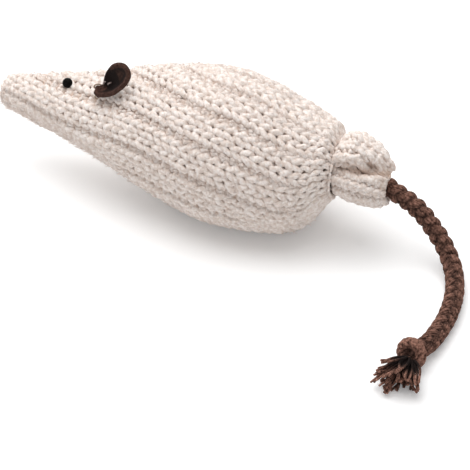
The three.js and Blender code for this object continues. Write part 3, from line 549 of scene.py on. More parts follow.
def strands(name, lines, thickness, material, sides=6):
    """Round strands as one mesh, from (points, thickness shares, closed) for each."""
    curve = bpy.data.curves.new(name, "CURVE")
    curve.dimensions = "3D"
    curve.bevel_depth = thickness / 2
    curve.bevel_resolution = (sides - 4) // 2
    curve.use_fill_caps = True
    for points, shares, closed in lines:
        spline = curve.splines.new("POLY")
        spline.points.add(len(points) - 1)
        spline.points.foreach_set("co", np.column_stack([points, np.ones(len(points))]).ravel())
        spline.points.foreach_set("radius", np.broadcast_to(shares, len(points)).astype(np.float32))
        spline.use_cyclic_u = closed
    holder = link(bpy.data.objects.new(name + "_line", curve))
    mesh = shown_mesh(holder)
    bpy.data.objects.remove(holder)
    bpy.data.curves.remove(curve)
    mesh.name = name
    return finish_mesh(name, mesh, material)


def mark_painted_shade(obj, shares):
    """Stores for the material how much painted shade each point gets."""
    attribute = obj.data.attributes.new("painted_shade", "FLOAT", "POINT")
    values = np.broadcast_to(shares, len(obj.data.vertices)).astype(np.float32)
    attribute.data.foreach_set("value", values)


def points_of(obj):
    """The places of a mesh's points."""
    points = np.empty(len(obj.data.vertices) * 3, np.float32)
    obj.data.vertices.foreach_get("co", points)
    return points.reshape(-1, 3).astype(float)


def wrapped_sheet(name, columns, rows, place, material):
    """A grid wrapped into a closed shape by place(across, down), both from 0 to 1."""
    bm = bmesh.new()
    bmesh.ops.create_grid(bm, x_segments=columns, y_segments=rows, size=0.5)
    grid = np.array([vert.co[:2] for vert in bm.verts]) + 0.5
    for vert, point in zip(bm.verts, place(grid[:, 0], grid[:, 1])):
        vert.co = point
    bmesh.ops.remove_doubles(bm, verts=bm.verts, dist=1e-6)
    return from_bmesh(name, bm, material)


# Materials


class Nodes:
    """Places and joins the nodes of a material or group."""

    def __init__(self, tree):
        self.tree = tree
        tree.nodes.clear()

    def plug(self, node, key, value):
        """Joins an input to a socket, or sets it to a value."""
        if isinstance(value, bpy.types.NodeSocket):
            self.tree.links.new(value, node.inputs[key])
        else:
            node.inputs[key].default_value = value

    def add(self, kind, inputs=None, **settings):
        node = self.tree.nodes.new(kind)
        for key, value in settings.items():
            setattr(node, key, value)
        for key, value in (inputs or {}).items():
            self.plug(node, key, value)
        return node

    def place(self):
        """The place on the object, in its own coordinates."""
        return self.add("ShaderNodeTexCoord").outputs["Object"]

    def noise(self, vector, scale, detail=3, roughness=0.55):
        inputs = {"Vector": vector, "Scale": scale, "Detail": detail, "Roughness": roughness}
        return self.add("ShaderNodeTexNoise", inputs).outputs["Fac"]

    def math(self, operation, first, second):
        return self.add("ShaderNodeMath", {0: first, 1: second}, operation=operation).outputs[0]

    def spread(self, value, low, high, start=0.0, end=1.0):
        inputs = {"Value": value, "From Min": low, "From Max": high, "To Min": start, "To Max": end}
        return self.add("ShaderNodeMapRange", inputs, clamp=True).outputs["Result"]

    def mix(self, share, first, second):
        inputs = {0: share, 6: first, 7: second}
        return self.add("ShaderNodeMix", inputs, data_type="RGBA", blend_type="MIX").outputs[2]

    def seen(self, first, *others):
        """1 where a ray of one of these kinds looks, 0 for the light alone."""
        path = self.add("ShaderNodeLightPath").outputs
        seen = path[first]
        for ray in others:
            seen = self.math("MAXIMUM", seen, path[ray])
        return seen

    def bump(self, shader, height, strength, depth):
        bump = self.add("ShaderNodeBump", {"Height": height, "Strength": strength, "Distance": depth})
        self.plug(shader, "Normal", bump.outputs[0])


def colour(values, share=1.0):
    """A colour as the nodes take it, darkened to a share."""
    return (*(value * share for value in values), 1.0)


def fibre_group():
    """Fleck, tone and height of loose spun fibre, for a place and the fibre's size."""
    name = "Spun Fibre"
    if name in bpy.data.node_groups:
        return bpy.data.node_groups[name]
    tree = bpy.data.node_groups.new(name, "ShaderNodeTree")
    nodes = Nodes(tree)
    face = tree.interface
    face.new_socket("Vector", in_out="INPUT", socket_type="NodeSocketVector")
    face.new_socket("Fleck Scale", in_out="INPUT", socket_type="NodeSocketFloat")
    face.new_socket("Fibre Scale", in_out="INPUT", socket_type="NodeSocketFloat")
    for output in ("Tone", "Fleck", "Height"):
        face.new_socket(output, in_out="OUTPUT", socket_type="NodeSocketFloat")
    inside = nodes.add("NodeGroupInput").outputs
    place = inside["Vector"]
    tone = nodes.noise(place, inside["Fleck Scale"], detail=2)
    fleck_scale = nodes.math("MULTIPLY", inside["Fleck Scale"], 2.7)
    fleck = nodes.spread(nodes.noise(place, fleck_scale, detail=4, roughness=0.7), 0.53, 0.7)
    bent = nodes.add("ShaderNodeVectorMath", {0: place, 1: (1.0, 0.45, 0.8)}, operation="MULTIPLY")
    fine = nodes.noise(bent.outputs[0], inside["Fibre Scale"], detail=5, roughness=0.65)
    nodes.add("NodeGroupOutput", {"Tone": tone, "Fleck": fleck, "Height": fine})
    return tree


def new_material(name, base, roughness, sheen=0.0, specular=0.5):
    """A material with its shader, and the nodes to go on with."""
    material = bpy.data.materials.new(name)
    material.use_nodes = True
    material.diffuse_color = colour(base)
    nodes = Nodes(material.node_tree)
    levels = {
        "Base Color": colour(base),
        "Roughness": roughness,
        "Sheen Weight": sheen,
        "Sheen Roughness": 0.6,
        "Specular IOR Level": specular,
    }
    shader = nodes.add("ShaderNodeBsdfPrincipled", levels)
    nodes.add("ShaderNodeOutputMaterial", {"Surface": shader.outputs[0]})
    return material, nodes, shader


def spun_material(
    name,
    tones,
    fleck,
    scales,
    bump,
    # deep is the colour of the painted shade
    deep=None,
    painted_shade_share=1.0,
    tone_span=(0.32, 0.68),
    bump_strength=0.7,
    sheen=0.0,
    specular=0.2,
):
    """Spun or felted fibre in a pale and a dark tone with flecks, with painted shade where its crevices
    are marked.
    """
    pale, dark = tones
    material, nodes, shader = new_material(name, pale, 0.92, sheen, specular)
    sizes = dict(zip(("Fleck Scale", "Fibre Scale"), scales))
    group = nodes.add("ShaderNodeGroup", {"Vector": nodes.place(), **sizes}, node_tree=fibre_group())
    fibre = group.outputs
    tone = nodes.mix(nodes.spread(fibre["Tone"], *tone_span), colour(dark), colour(pale))
    flecked = nodes.mix(nodes.math("MULTIPLY", fibre["Fleck"], 0.6), tone, colour(fleck))
    # Painted shade: the marked share mixes in the deep colour
    if deep:
        painted_shade = nodes.add("ShaderNodeAttribute", attribute_name="painted_shade").outputs["Fac"]
        flecked = nodes.mix(nodes.math("MULTIPLY", painted_shade, painted_shade_share), flecked, colour(deep))
    nodes.plug(shader, "Base Color", flecked)
    nodes.bump(shader, fibre["Height"], bump_strength, bump)
    return material


def knit_material(look):
    """Heather yarn, with warm painted shade down between the stitches."""
    return spun_material(
        "heather_wool",
        (look.wool, look.wool_shade),
        look.wool_fleck,
        scales=(980, 2600),
        bump=0.0004,
        deep=look.wool_painted_shade,
        painted_shade_share=0.7,
        tone_span=(0.4, 0.6),
        bump_strength=0.6,
        sheen=0.12,
        specular=0.1,
    )


def bead_material(look):
    """Black bead, worn dull in patches."""
    material, nodes, shader = new_material("black_bead", look.bead, 0.5, specular=0.04)
    worn = nodes.noise(nodes.place(), 900, detail=4)
    nodes.plug(shader, "Roughness", nodes.spread(worn, 0.4, 0.75, 0.4, 0.6))
    rubbed = nodes.mix(nodes.spread(worn, 0.5, 0.8), colour(look.bead), (0.005, 0.004, 0.004, 1))
    nodes.plug(shader, "Base Color", rubbed)
    return material


def muslin_material(look):
    """Plain weave, crossed threads on the object's own place."""
    material, nodes, shader = new_material("muslin", look.muslin, 0.9, sheen=0.1)
    threads = {"Vector": nodes.place(), "Scale": 420.0, "Distortion": 0.6}
    waves = [nodes.add("ShaderNodeTexWave", threads, bands_direction=way).outputs["Fac"] for way in "XZ"]
    weave = nodes.math("MULTIPLY", *waves)
    nodes.plug(shader, "Base Color", nodes.mix(weave, colour(look.muslin, 0.7), colour(look.muslin)))
    nodes.bump(shader, weave, 0.6, 0.0002)
    return material


def floor_material(stage):
    """Pale floor that keeps the shadow, lifted towards white for the camera."""
    material, nodes, shader = new_material("floor", stage.floor, 0.9)
    place = nodes.place()
    grain = nodes.spread(nodes.noise(place, 40, detail=2), 0.3, 0.7)
    nodes.plug(shader, "Base Color", nodes.mix(grain, colour(stage.floor, 0.995), colour(stage.floor)))
    away = nodes.add("ShaderNodeVectorMath", {0: place}, operation="LENGTH").outputs["Value"]
    lift = nodes.spread(away, *FLOOR_LIFT_SPAN, stage.floor_lift, 1.0)
    strength = nodes.math("MULTIPLY", nodes.seen("Is Camera Ray", "Is Glossy Ray"), lift)
    glow = nodes.add("ShaderNodeEmission", {"Color": (1, 1, 1, 1), "Strength": strength})
    total = nodes.add("ShaderNodeAddShader", {0: shader.outputs[0], 1: glow.outputs[0]})
    output = next(node for node in nodes.tree.nodes if node.bl_idname == "ShaderNodeOutputMaterial")
    nodes.plug(output, "Surface", total.outputs[0])
    return material


# Settings


def number(name, description, default, **limits):
    """A plain number."""
    return bpy.props.FloatProperty(name=name, description=description, default=default, **limits)


def length(name, description, default):
    """A length in metres."""
    return number(name, description, default, min=0, unit="LENGTH", precision=5)


def angle_of(name, description, degrees):
    """An angle, from degrees."""
    return number(name, description, math.radians(degrees), subtype="ANGLE")


def amount(name, description, default, least):
    """A whole number."""
    return bpy.props.IntProperty(name=name, description=description, default=default, min=least)


def tint(name, description, default):
    """A colour."""
    return bpy.props.FloatVectorProperty(
        name=name, description=description, default=default, size=3, min=0, max=1, subtype="COLOR"
    )


class MOUSE_PG_look(bpy.types.PropertyGroup):
    """Colours of the yarns, felt, cord and bead, and of the painted shade in their crevices."""

    wool: tint("Wool", "Pale tone of the heather yarn", (0.975, 0.9, 0.855))
    wool_shade: tint("Wool shade", "Darker tone of the heather yarn", (0.79, 0.678, 0.608))
    wool_fleck: tint("Wool fleck", "Flecks in the heather yarn", (0.66, 0.51, 0.43))
    # Painted shade on the wool where it lies low or hidden: between the stitches, on the grounds, on the
    # seam and in the ruff
    wool_painted_shade: tint("Wool depth", "Yarn down between the stitches", (0.5, 0.32, 0.22))
    felt: tint("Felt", "The ears' felt", (0.026, 0.0105, 0.0072))
    felt_worn: tint("Worn felt", "The felt's rubbed fibres", (0.085, 0.042, 0.031))
    # Painted shade on the felt inside the ear's cup
    felt_painted_shade: tint("Felt depth", "Inside the ear's cup", (0.006, 0.0024, 0.0018))
    cord: tint("Cord", "The tail's cotton", (0.05, 0.021, 0.014))
    cord_worn: tint("Worn cord", "The cotton's rubbed fibres", (0.42, 0.215, 0.158))
    # Painted shade on the cotton: between the plait's strands, in the knot and among the tassel's threads
    cord_painted_shade: tint("Cord depth", "The cotton down between its strands", (0.006, 0.0022, 0.0015))
    thread: tint("Thread", "Dark tone of the tie's and the ears' thread", (0.05, 0.026, 0.017))
    pale_thread: tint("Pale thread", "Pale tone of that thread", (0.42, 0.34, 0.32))
    bead: tint("Bead", "The eyes", (0.0025, 0.002, 0.002))
    fibre: tint("Filling", "Loose fibre filling", (0.88, 0.86, 0.82))
    muslin: tint("Muslin", "The sachet's cloth", (0.78, 0.7, 0.55))
    leaf: tint("Leaf", "Dried catnip", (0.16, 0.19, 0.07))


class MOUSE_PG_knit(bpy.types.PropertyGroup):
    """Sizes of the rib knit."""

    column: length("Knit column", "Width of one column of the raised rib", 0.0042)
    row: length("Row", "Distance from row to row", 0.0032)
    yarn: length("Yarn", "Thickness of the yarn", 0.00225)
    relief: length("Relief", "How far the legs stand in front of the loops' heads", 0.0004)
    valley: length("Valley", "Depth of the purl columns under the ribs", 0.0003)
    lean: number("Lean", "How far a stitch's legs lean apart, in shares of its width", 0.26, min=0)
    ruff_ribs: amount("Ruff ribs", "Ribs of stitches round the ruff", 13, 4)
    ruff_knit: number("Ruff rib", "Share of each ruff rib that stands proud", 0.55, min=0.3, max=0.9)
    ruff_row: length("Ruff row", "Distance from row to row on the gathered ruff", 0.0026)
    ruff_yarn: length("Ruff yarn", "Thickness of the yarn on the ruff", 0.002)
    fibre: length("Fibre", "Thickness of a loose fibre", 0.00016)
    fibre_length: length("Fibre length", "Longest loose end of fibre", 0.0028)
    fibre_stand: length("Fibre stand", "How far a loose end stands off the yarn", 0.0005)
    fibres: amount("Fibres", "Loose ends of fibre on the body's cover", 7000, 1)


class MOUSE_PG_tail(bpy.types.PropertyGroup):
    """Sizes of the plaited tail."""

    plait: length("Plait", "Length in which a strand comes back to its place", 0.0108)
    strand: length("Strand", "Thickness of one of the plait's three strands", 0.0034)
    swing: length("Swing", "How far a strand swings to each side", 0.0013)
    lift: length("Lift", "How far a strand passes over and under", 0.00095)
    yarns: amount("Yarns", "Yarns twisted into each strand", 11, 3)
    threads: amount("Tassel threads", "Frayed threads beyond the knot", 75, 12)
    tufts: amount("Tufts", "Tufts the frayed threads gather in", 25, 4)
    thread: length("Tassel thread", "Thickness of a frayed thread", 0.0008)
    tassel: length("Tassel", "Length of the frayed threads", 0.0138)


class MOUSE_PG_ear(bpy.types.PropertyGroup):
    """Sizes of the ears and eyes."""

    felt: length("Felt", "Thickness of the felt", 0.0014)
    roll: length("Base", "Length of the rolled, sewn base", 0.0036)
    stitch: length("Stitch", "Reach of a stitch over the base", 0.0014)
    thread: length("Thread", "Thickness of the sewing thread", 0.0005)
    eye: length("Eye", "Radius of the bead", 0.0016)


class MOUSE_PG_stage(bpy.types.PropertyGroup):
    """Camera and floor."""

    azimuth: angle_of("Azimuth", "Camera's turn from -Y towards +X", 21.21)
    elevation: angle_of("Elevation", "Camera's height angle", 40)
    distance: length("Distance", "Camera to the point it looks at", 0.68)
    lens: number("Lens", "Focal length in mm", 163.1, min=1)
    target: bpy.props.FloatVectorProperty(
        name="Target",
        description="Point the camera looks at",
        default=(0.00257, 0, -0.01092),
        subtype="TRANSLATION",
    )
    floor: tint("Floor", "Colour of the floor", (0.93, 0.93, 0.93))
    floor_lift: number("Floor lift", "White added to the floor as the camera sees it", 0.17, min=0)


# Camera


class MOUSE_OT_camera(bpy.types.Operator):
    """Puts the camera at the picture's viewing angle"""

    bl_idname = "mouse.camera"
    bl_label = "Camera"

    def execute(self, context):
        stage = context.scene.mouse_stage
        data = bpy.data.cameras.new("camera")
        data.lens, data.sensor_width = stage.lens, 36
        data.clip_start, data.clip_end = 0.01, 20
        camera = link(bpy.data.objects.new("camera", data))
        turn, rise = stage.azimuth, stage.elevation
        flat = math.cos(rise)
        away = Vector((math.sin(turn) * flat, -math.cos(turn) * flat, math.sin(rise)))
        camera.location = Vector(stage.target) + away * stage.distance
        camera.rotation_euler = away.to_track_quat("Z", "Y").to_euler()
        context.scene.camera = camera
        return {"FINISHED"}


# Tail


def plait_lines(line, settings, seed):
    """The yarns of a three-strand plait along a line, and their thickness."""
    at = along(line)
    forward = side_frames(line)[0]
    face = unit(PLAIT_FACE - forward * (forward @ PLAIT_FACE)[:, None])
    side = np.cross(face, forward)
    roll = PLAIT_ROLL * smooth_step(PLAIT_ROLL_END, 0, at - at[-1] * PLAIT_ROLL_FROM)[:, None]
    over = face * np.cos(roll) + side * np.sin(roll)
    beside = side * np.cos(roll) - face * np.sin(roll)
    yarn = settings.strand * STRAND_YARN
    lines = []
    for strand in range(3):
        phase = FULL_TURN * (at / settings.plait + strand / 3)[:, None]
        core = line + beside * settings.swing * np.sin(phase) + over * settings.lift * np.sin(2 * phase)
        _, near, up = side_frames(core)
        lines.append((core, STRAND_CORE, False))
        for index in range(settings.yarns):
            turn = FULL_TURN * (at / STRAND_LAY + index / settings.yarns)[:, None] + strand
            lay = near * np.cos(turn) + up * np.sin(turn)
            uneven = 1 + wobble(len(at), STRAND_UNEVEN, 9, seed + strand * 31 + index)
            points = core + lay * (settings.strand - yarn) / 2
            points[:, 2] = np.maximum(points[:, 2], yarn / 2)
            lines.append((points, uneven, False))
    return lines, yarn


def rope_lines(line, thickness, yarns, lay, seed):
    """Yarns twisted round a line into a rope of this thickness, and the yarns' own."""
    at = along(line)
    _, near, up = side_frames(line)
    yarn = thickness * ROPE_YARN
    lines = []
    for index in range(yarns):
        turn = FULL_TURN * (at / lay + index / yarns)[:, None]
        offset = near * np.cos(turn) + up * np.sin(turn)
        uneven = 1 + wobble(len(at), ROPE_UNEVEN, 7, seed + index)
        lines.append((line + offset * (thickness - yarn) / 2, uneven, False))
    lines.append((line, ROPE_CORE, False))
    return lines, yarn


def overhand(middle, spread, rise, count):
    """The line of an overhand knot drawn tight, in an upright plane."""
    turn = np.linspace(0, FULL_TURN, count)
    x = (np.sin(turn) + 2 * np.sin(2 * turn)) * spread
    y = rise * np.sin(3 * turn)
    z = (np.cos(turn) - 2 * np.cos(2 * turn)) * spread
    return middle + np.stack([x, y, z], axis=1)


def knot_line(count):
    """The cord wound once round itself, with both ends drawn into the ring."""
    through = unit(KNOT_AXIS)
    beside = unit(np.cross(through, [0, 0, 1]))
    over = np.cross(beside, through)
    share = np.linspace(0, 1, count)[:, None]
    turn = FULL_TURN * (KNOT_TURNS * share - KNOT_START)
    drawn = smooth_step(0, 0.16, share) * smooth_step(1, 0.8, share)
    ring = KNOT_RING * (KNOT_DRAWN + (1 - KNOT_DRAWN) * drawn)
    wound = (beside * np.cos(turn) + over * np.sin(turn)) * ring
    return KNOT_MIDDLE + wound + through * (share - 0.5) * KNOT_LENGTH


def tassel_lines(settings):
    """Frayed threads that fan out in tufts beyond the knot and come to rest on the floor."""
    flat, down = math.cos(TASSEL_DROP), math.sin(TASSEL_DROP)
    axis = np.array([math.cos(TASSEL_HEADING) * flat, math.sin(TASSEL_HEADING) * flat, -down])
    side = unit(np.cross(axis, [0, 0, 1]))
    over = np.cross(side, axis)
    random = np.random.default_rng(7)
    golden = math.pi * (3 - math.sqrt(5))
    share = np.linspace(0, 1, 11)[:, None]
    lines = []
    for thread in range(settings.threads):
        tuft = thread % settings.tufts
        out = math.sqrt((tuft + 0.5) / settings.tufts)
        around = tuft * golden + random.normal(0, 0.11)
        spread = side * math.cos(around) + over * math.sin(around)
        loose = side * random.normal(0, 1) + over * random.normal(0, 1)
        middle = KNOT_MIDDLE + axis * TASSEL_ROOT + TASSEL_SET
        root = middle + spread * out * TASSEL_WIDTH + loose * TASSEL_LOOSE
        lean = TASSEL_FAN * out + random.normal(0, 0.06)
        heading = axis * math.cos(lean) + spread * math.sin(lean)
        reach = settings.tassel * (0.8 + 0.2 * math.cos(tuft * 2.3)) * random.uniform(0.9, 1.04)
        bent = heading * share**TASSEL_CURL * reach * (1 - TASSEL_STRAIGHT)
        points = root + axis * share * reach * TASSEL_STRAIGHT + bent
        points = points + loose * TASSEL_BOW * np.sin(share * math.pi * random.uniform(0.8, 1.6))
        points[:, 2] = np.maximum(points[:, 2], settings.thread * 0.55)
        lines.append((points, np.linspace(1.0, 0.9, len(share)), False))
    return lines


def hidden_share(obj, line, reach):
    """How far each point lies in towards a line, from none at this reach."""
    points = points_of(obj)
    nearest = np.full(len(points), np.inf)
    for place in line:
        nearest = np.minimum(nearest, np.linalg.norm(points - place, axis=1))
    return smooth_step(reach, reach * 0.55, nearest)


class MOUSE_OT_tail(bpy.types.Operator):
    """Plaits the tail, ties its end knot and frays the tassel"""

    bl_idname = "mouse.tail"
    bl_label = "Tail"

    def execute(self, context):
        settings, look = context.scene.mouse_tail, context.scene.mouse_look
        cotton = spun_material(
            "plaited_cotton",
            (look.cord_worn, look.cord),
            look.cord,
            scales=(1100, 5200),
            bump=0.00025,
            deep=look.cord_painted_shade,
        )
        route = evened(smooth_line(TAIL_ROUTE, 12), 400)
        ahead = NECK + (TAIL_BEND - NECK) * np.linspace(*TAIL_INSIDE, 20)[::4, None]
        into_knot = KNOT_MIDDLE + KNOT_AXIS * KNOT_ENTRY - route[-1]
        tip = [route[-1] + into_knot * share for share in (0.5, 1)]
        whole = evened(smooth_line(np.concatenate([ahead, route[6::8], tip]), 8), TAIL_STEPS)
        lines, yarn = plait_lines(whole, settings, seed=11)
        plait = strands("tail_plait", lines, yarn, cotton)
        # Painted shade towards the plait's middle line
        mark_painted_shade(plait, PLAIT_SHADE * hidden_share(plait, whole, settings.strand))
        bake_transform(plait)
        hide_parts("tail_cord", "tail_root")

        rope, yarn = rope_lines(knot_line(90), KNOT_BAND, KNOT_YARNS, KNOT_LAY, seed=23)
        for points, _, _ in rope:
            points[:, 2] = np.maximum(points[:, 2], yarn / 2)
        knot = strands("end_knot", rope, yarn, cotton)
        # Painted shade towards the knot's middle
        mark_painted_shade(knot, hidden_share(knot, [KNOT_MIDDLE], KNOT_RING))
        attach(knot, "tail")
        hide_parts("tail_end_knot")

        tassel = strands("tassel", tassel_lines(settings), settings.thread, cotton)
        # Painted shade on the tassel, darker near the knot
        mark_painted_shade(tassel, hidden_share(tassel, [KNOT_MIDDLE], settings.tassel))
        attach(tassel, "tail")
        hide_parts("tail_tassel")

        inner = np.linspace(ANCHOR_FROM, ANCHOR_TO, 30)[:, None] * np.array([1.0, 0, 0]) + NECK
        rope, yarn = rope_lines(inner, ANCHOR_ROPE, ANCHOR_YARNS, ANCHOR_LAY, seed=41)
        loop = overhand(NECK - (ANCHOR_KNOT, 0, 0), ANCHOR_KNOT_SPREAD, ANCHOR_KNOT_RISE, 80)
        loop_rope, _ = rope_lines(loop, ANCHOR_KNOT_ROPE, ANCHOR_YARNS, ANCHOR_LAY, seed=43)
        anchor = strands("tail_anchor_knot", rope + loop_rope, yarn, cotton)
        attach(anchor, "mouse")
        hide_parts("tail_anchor")

        return {"FINISHED"}


# Body cover


def rib_columns(settings):
    """Start, width and face of each column from the back over the belly to the back, and a rib's width."""
    repeat = FULL_TURN * SKIN_RADIUS / RIBS
    purl = repeat / 2 - settings.column
    half = []
    for index in range(RIBS // 2 + 1):
        start = index * repeat
        half += [
            (start, settings.column, 1),
            (start + settings.column, purl, -1),
            (start + settings.column + purl, purl, -1),
            (start + repeat - settings.column, settings.column, 1),
        ]
    return [(-start - width, width, face) for start, width, face in reversed(half)] + half, repeat


def stitched(columns, lean):
    """One row's yarn: place across, swing along in rows, lift to the front and share of thickness."""
    start, width, face = (np.repeat(np.array(values, float), STITCH_STEPS) for values in zip(*columns))
    phase = np.tile(np.linspace(0, FULL_TURN, STITCH_STEPS, endpoint=False), len(columns))
    twice = np.cos(2 * phase)
    knit = face > 0
    sway = np.where(knit, lean, PURL_LEAN) * width * np.sin(2 * phase)
    across = start + width * phase / FULL_TURN + sway
    swing = -np.where(knit, KNIT_SWING, PURL_SWING) * np.cos(phase)
    lift = np.where(knit, KNIT_LIFT * twice - KNIT_SINK, PURL_LIFT * twice - PURL_SINK)
    swing, lift = (
        np.convolve(np.pad(way, 1, mode="wrap"), STITCH_SOFTEN, mode="valid") for way in (swing, lift)
    )
    thick = np.where(knit, KNIT_THICK + KNIT_SWELL * twice, PURL_THICK + PURL_SWELL * twice)
    return across, swing, lift, thick


def thinned(width, limits):
    """Share of the yarn's thickness where the cloth narrows to a share of its width."""
    start, more, least = limits
    return np.clip(start + more * width, least, 1)


def gathered(ribs, share, column):
    """Behind the widest section the ribs close up over the valleys between them."""
    pair = np.round(ribs)
    off = ribs - pair
    wide = np.minimum(GATHER_WIDEST, column / share)
    inside = np.minimum(np.abs(off), column)
    moved = inside * wide / column + (np.abs(off) - inside) * (0.5 - wide) / (0.5 - column)
    return pair + np.sign(off) * moved


def kept_runs(points, thin, kept):
    """The kept stretch of a closed row, as a closed or an open strand."""
    middle = len(kept) // 2
    if kept[middle - 6 : middle + 6].all():
        return [(points[kept], thin[kept], True)]
    order = np.roll(np.arange(len(kept)), -middle)
    chosen = order[kept[order]]
    return [(points[chosen], thin[chosen], False)] if len(chosen) > 3 else []


def rib_rows(settings):
    """Closed loops of yarn, one for each row of the rib, laid on the body."""
    cloth = RibCloth()
    columns, repeat = rib_columns(settings)
    across, swing, lift, thick = stitched(columns, settings.lean)
    place = np.abs((across + repeat / 2) % repeat - repeat / 2)
    valley_from, valley_to = (settings.column * edge for edge in VALLEY_EDGE)
    rib = -settings.valley * smooth_step(valley_from, valley_to, place)
    rib = rib - RIB_SPLIT * np.exp(-((place / RIB_SPLIT_WIDTH) ** 2))
    base = KNIT_STAND - settings.relief - settings.yarn / 2
    first = -int((BELLY_AT + ROWS_AHEAD) / settings.row)
    last = int((SKIN_AT[-1] - BELLY_AT - ROWS_SHORT) / settings.row)
    count = len(across)
    lines = []
    for index in range(first, last + 1):
        seed = 1000 + index * 3
        row = (index + swing) * settings.row + wobble(count, ROW_UNEVEN, 5, seed)
        ribs = (across + wobble(count, COLUMN_UNEVEN, 5, seed + 1)) / repeat
        at, _ = cloth.place(ribs, row)
        share = np.interp(at, SKIN_AT, SKIN[:, 1]) / SKIN_RADIUS
        rear = at > BELLY_AT
        ribs = np.where(rear, gathered(ribs, share, settings.column / repeat), ribs)
        at, turn = cloth.place(ribs, row)
        spread = cloth.place(ribs + SPREAD_STEP, row)[1] - cloth.place(ribs - SPREAD_STEP, row)[1]
        width = np.clip(np.abs(spread) * share * SKIN_RADIUS / (2 * SPREAD_STEP * repeat), 0, 1)
        gather = smooth_step(*GATHER, share) * rear
        height = base + lift * settings.relief * (1 - GATHER_FLATTEN * gather)
        height = height + rib * (1 + GATHER_DEEPEN * gather)
        height = height + sum(
            rise * smooth_step(BELLY_AT + start, BELLY_AT + end, at) for rise, start, end in PUFFS
        )
        height = height + wobble(count, HEIGHT_UNEVEN, 4, seed + 2)
        points = on_body(at, turn, height)
        thin = np.where(rear, thinned(share, REAR_THIN), thinned(width, FRONT_THIN))
        thin = thin * thick * (1 + wobble(count, YARN_UNEVEN, 3, seed + 4000))
        points[:, 2] = np.maximum(points[:, 2], settings.yarn * thin / 2 + FLOOR_GAP)
        kept = (np.abs(turn) <= math.pi) & (at > NOSE_EDGE) & (at < SKIN_AT[-1])
        lines += kept_runs(points, thin, kept)
    return lines


def nose_line():
    """The drawn-up yarn that closes the nose."""
    share = np.linspace(0, 1, 70)
    turn = FULL_TURN * NOSE_COIL_TURNS * share
    angle = BELLY_TURN + turn
    reach = np.linspace(*NOSE_COIL, len(share))
    x = NOSE_X + NOSE_COIL_SET + NOSE_PUFF * np.cos(NOSE_PUFFS * turn) - NOSE_COIL_DRAW * share
    points = np.stack([x, -reach * np.cos(angle), AXIS_HEIGHT + reach * np.sin(angle)], axis=1)
    return points, NOSE_COIL_THICK, False


def loose_fibres(lines, settings, seed):
    """Short ends of fibre that stand off the yarn, clear of the joints."""
    random = np.random.default_rng(seed)
    points = np.concatenate([line for line, _, _ in lines])
    heads = np.concatenate([np.gradient(line, axis=0) for line, _, _ in lines])
    chosen = random.choice(np.flatnonzero(clear_of_joints(points)), settings.fibres, replace=False)
    share = np.linspace(0, 1, 3)[:, None]
    fibres = []
    for place, head in zip(points[chosen], heads[chosen]):
        out = unit([0, place[1], place[2] - AXIS_HEIGHT])
        side = unit(np.cross(out, head))
        turn = random.uniform(0, FULL_TURN)
        lie = side * math.cos(turn) + np.cross(side, out) * math.sin(turn)
        reach = random.uniform(0.4, 1.0) * settings.fibre_length
        root = place + out * settings.yarn * FIBRE_ROOT
        line = root + lie * share * reach + out * settings.fibre_stand * share * random.uniform(-0.6, 1)
        line[:, 2] = np.maximum(line[:, 2], settings.fibre)
        fibres.append((line, np.linspace(1, 0.6, len(share)), False))
    return fibres


def clear_of_joints(points):
    """Where fibres may stand: away from the ears' folds and from the neck."""
    clear = points[:, 0] < NECK[0] - FIBRE_NECK_GAP
    for side in ("left", "right"):
        fold = JOINTS[f"ear_{side}_fold"]["pos_m"]
        clear &= np.linalg.norm(points - fold, axis=1) > FIBRE_EAR_GAP
    return clear


def seam_lines(settings):
    """Sewing yarn that draws the closed back together, sunk between the rows."""
    lines = []
    share = np.linspace(0, 1, SEAM_STEPS)
    for index, place in enumerate(np.arange(SEAM_FROM, SKIN_AT[-1] - SEAM_SHORT, settings.row)):
        radius = np.interp(place, SKIN_AT, SKIN[:, 1])
        run = place + share * settings.row * SEAM_STITCH
        height = -SEAM_DEPTH - SEAM_DIP * (2 * share - 1) ** 4
        height = height + wobble(SEAM_STEPS, SEAM_UNEVEN, 4, 500 + index)
        points = on_body(run, math.pi + (share - 0.5) * SEAM_WIDTH / radius, height)
        lines.append((points, 1.0, False))
    return lines


class MOUSE_OT_body(bpy.types.Operator):
    """Knits the body's cover over a close ground, and sews its back"""

    bl_idname = "mouse.body"
    bl_label = "Body cover"

    def execute(self, context):
        settings, look = context.scene.mouse_knit, context.scene.mouse_look
        wool = knit_material(look)
        rows = [*rib_rows(settings), nose_line()]
        knit = strands("body_knit", rows, settings.yarn, wool)
        # Painted shade, by how deep each point of yarn lies under the skin
        mark_painted_shade(knit, smooth_step(*BODY_PAINTED_SHADE, body_depth(points_of(knit))))
        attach(knit, "mouse")
        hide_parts("body_cover")
        ends = loose_fibres(rows, settings, seed=17)
        fuzz = strands("body_fibres", ends, settings.fibre, wool, sides=4)
        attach(fuzz, "mouse")

        def under(across, down):
            at = GROUND_FROM + down * (SKIN_AT[-1] - GROUND_FROM)
            place = on_body(at, across * FULL_TURN, -GROUND_DEPTH)
            place[:, 2] = np.maximum(place[:, 2], GROUND_FLOOR)
            return place

        # A ground sheet under the knit, seen through its gaps, darkened with painted shade
        ground = wrapped_sheet("body_ground", 72, 90, under, wool)
        mark_painted_shade(ground, GROUND_SHADE)
        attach(ground, "mouse")

        seam = strands("back_seam", seam_lines(settings), SEAM_YARN, wool)
        # Painted shade on the sunk seam yarn
        mark_painted_shade(seam, SEAM_SHADE)
        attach(seam, "mouse")
        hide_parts("back_seam_yarn")
        return {"FINISHED"}


# Ruff and neck tie


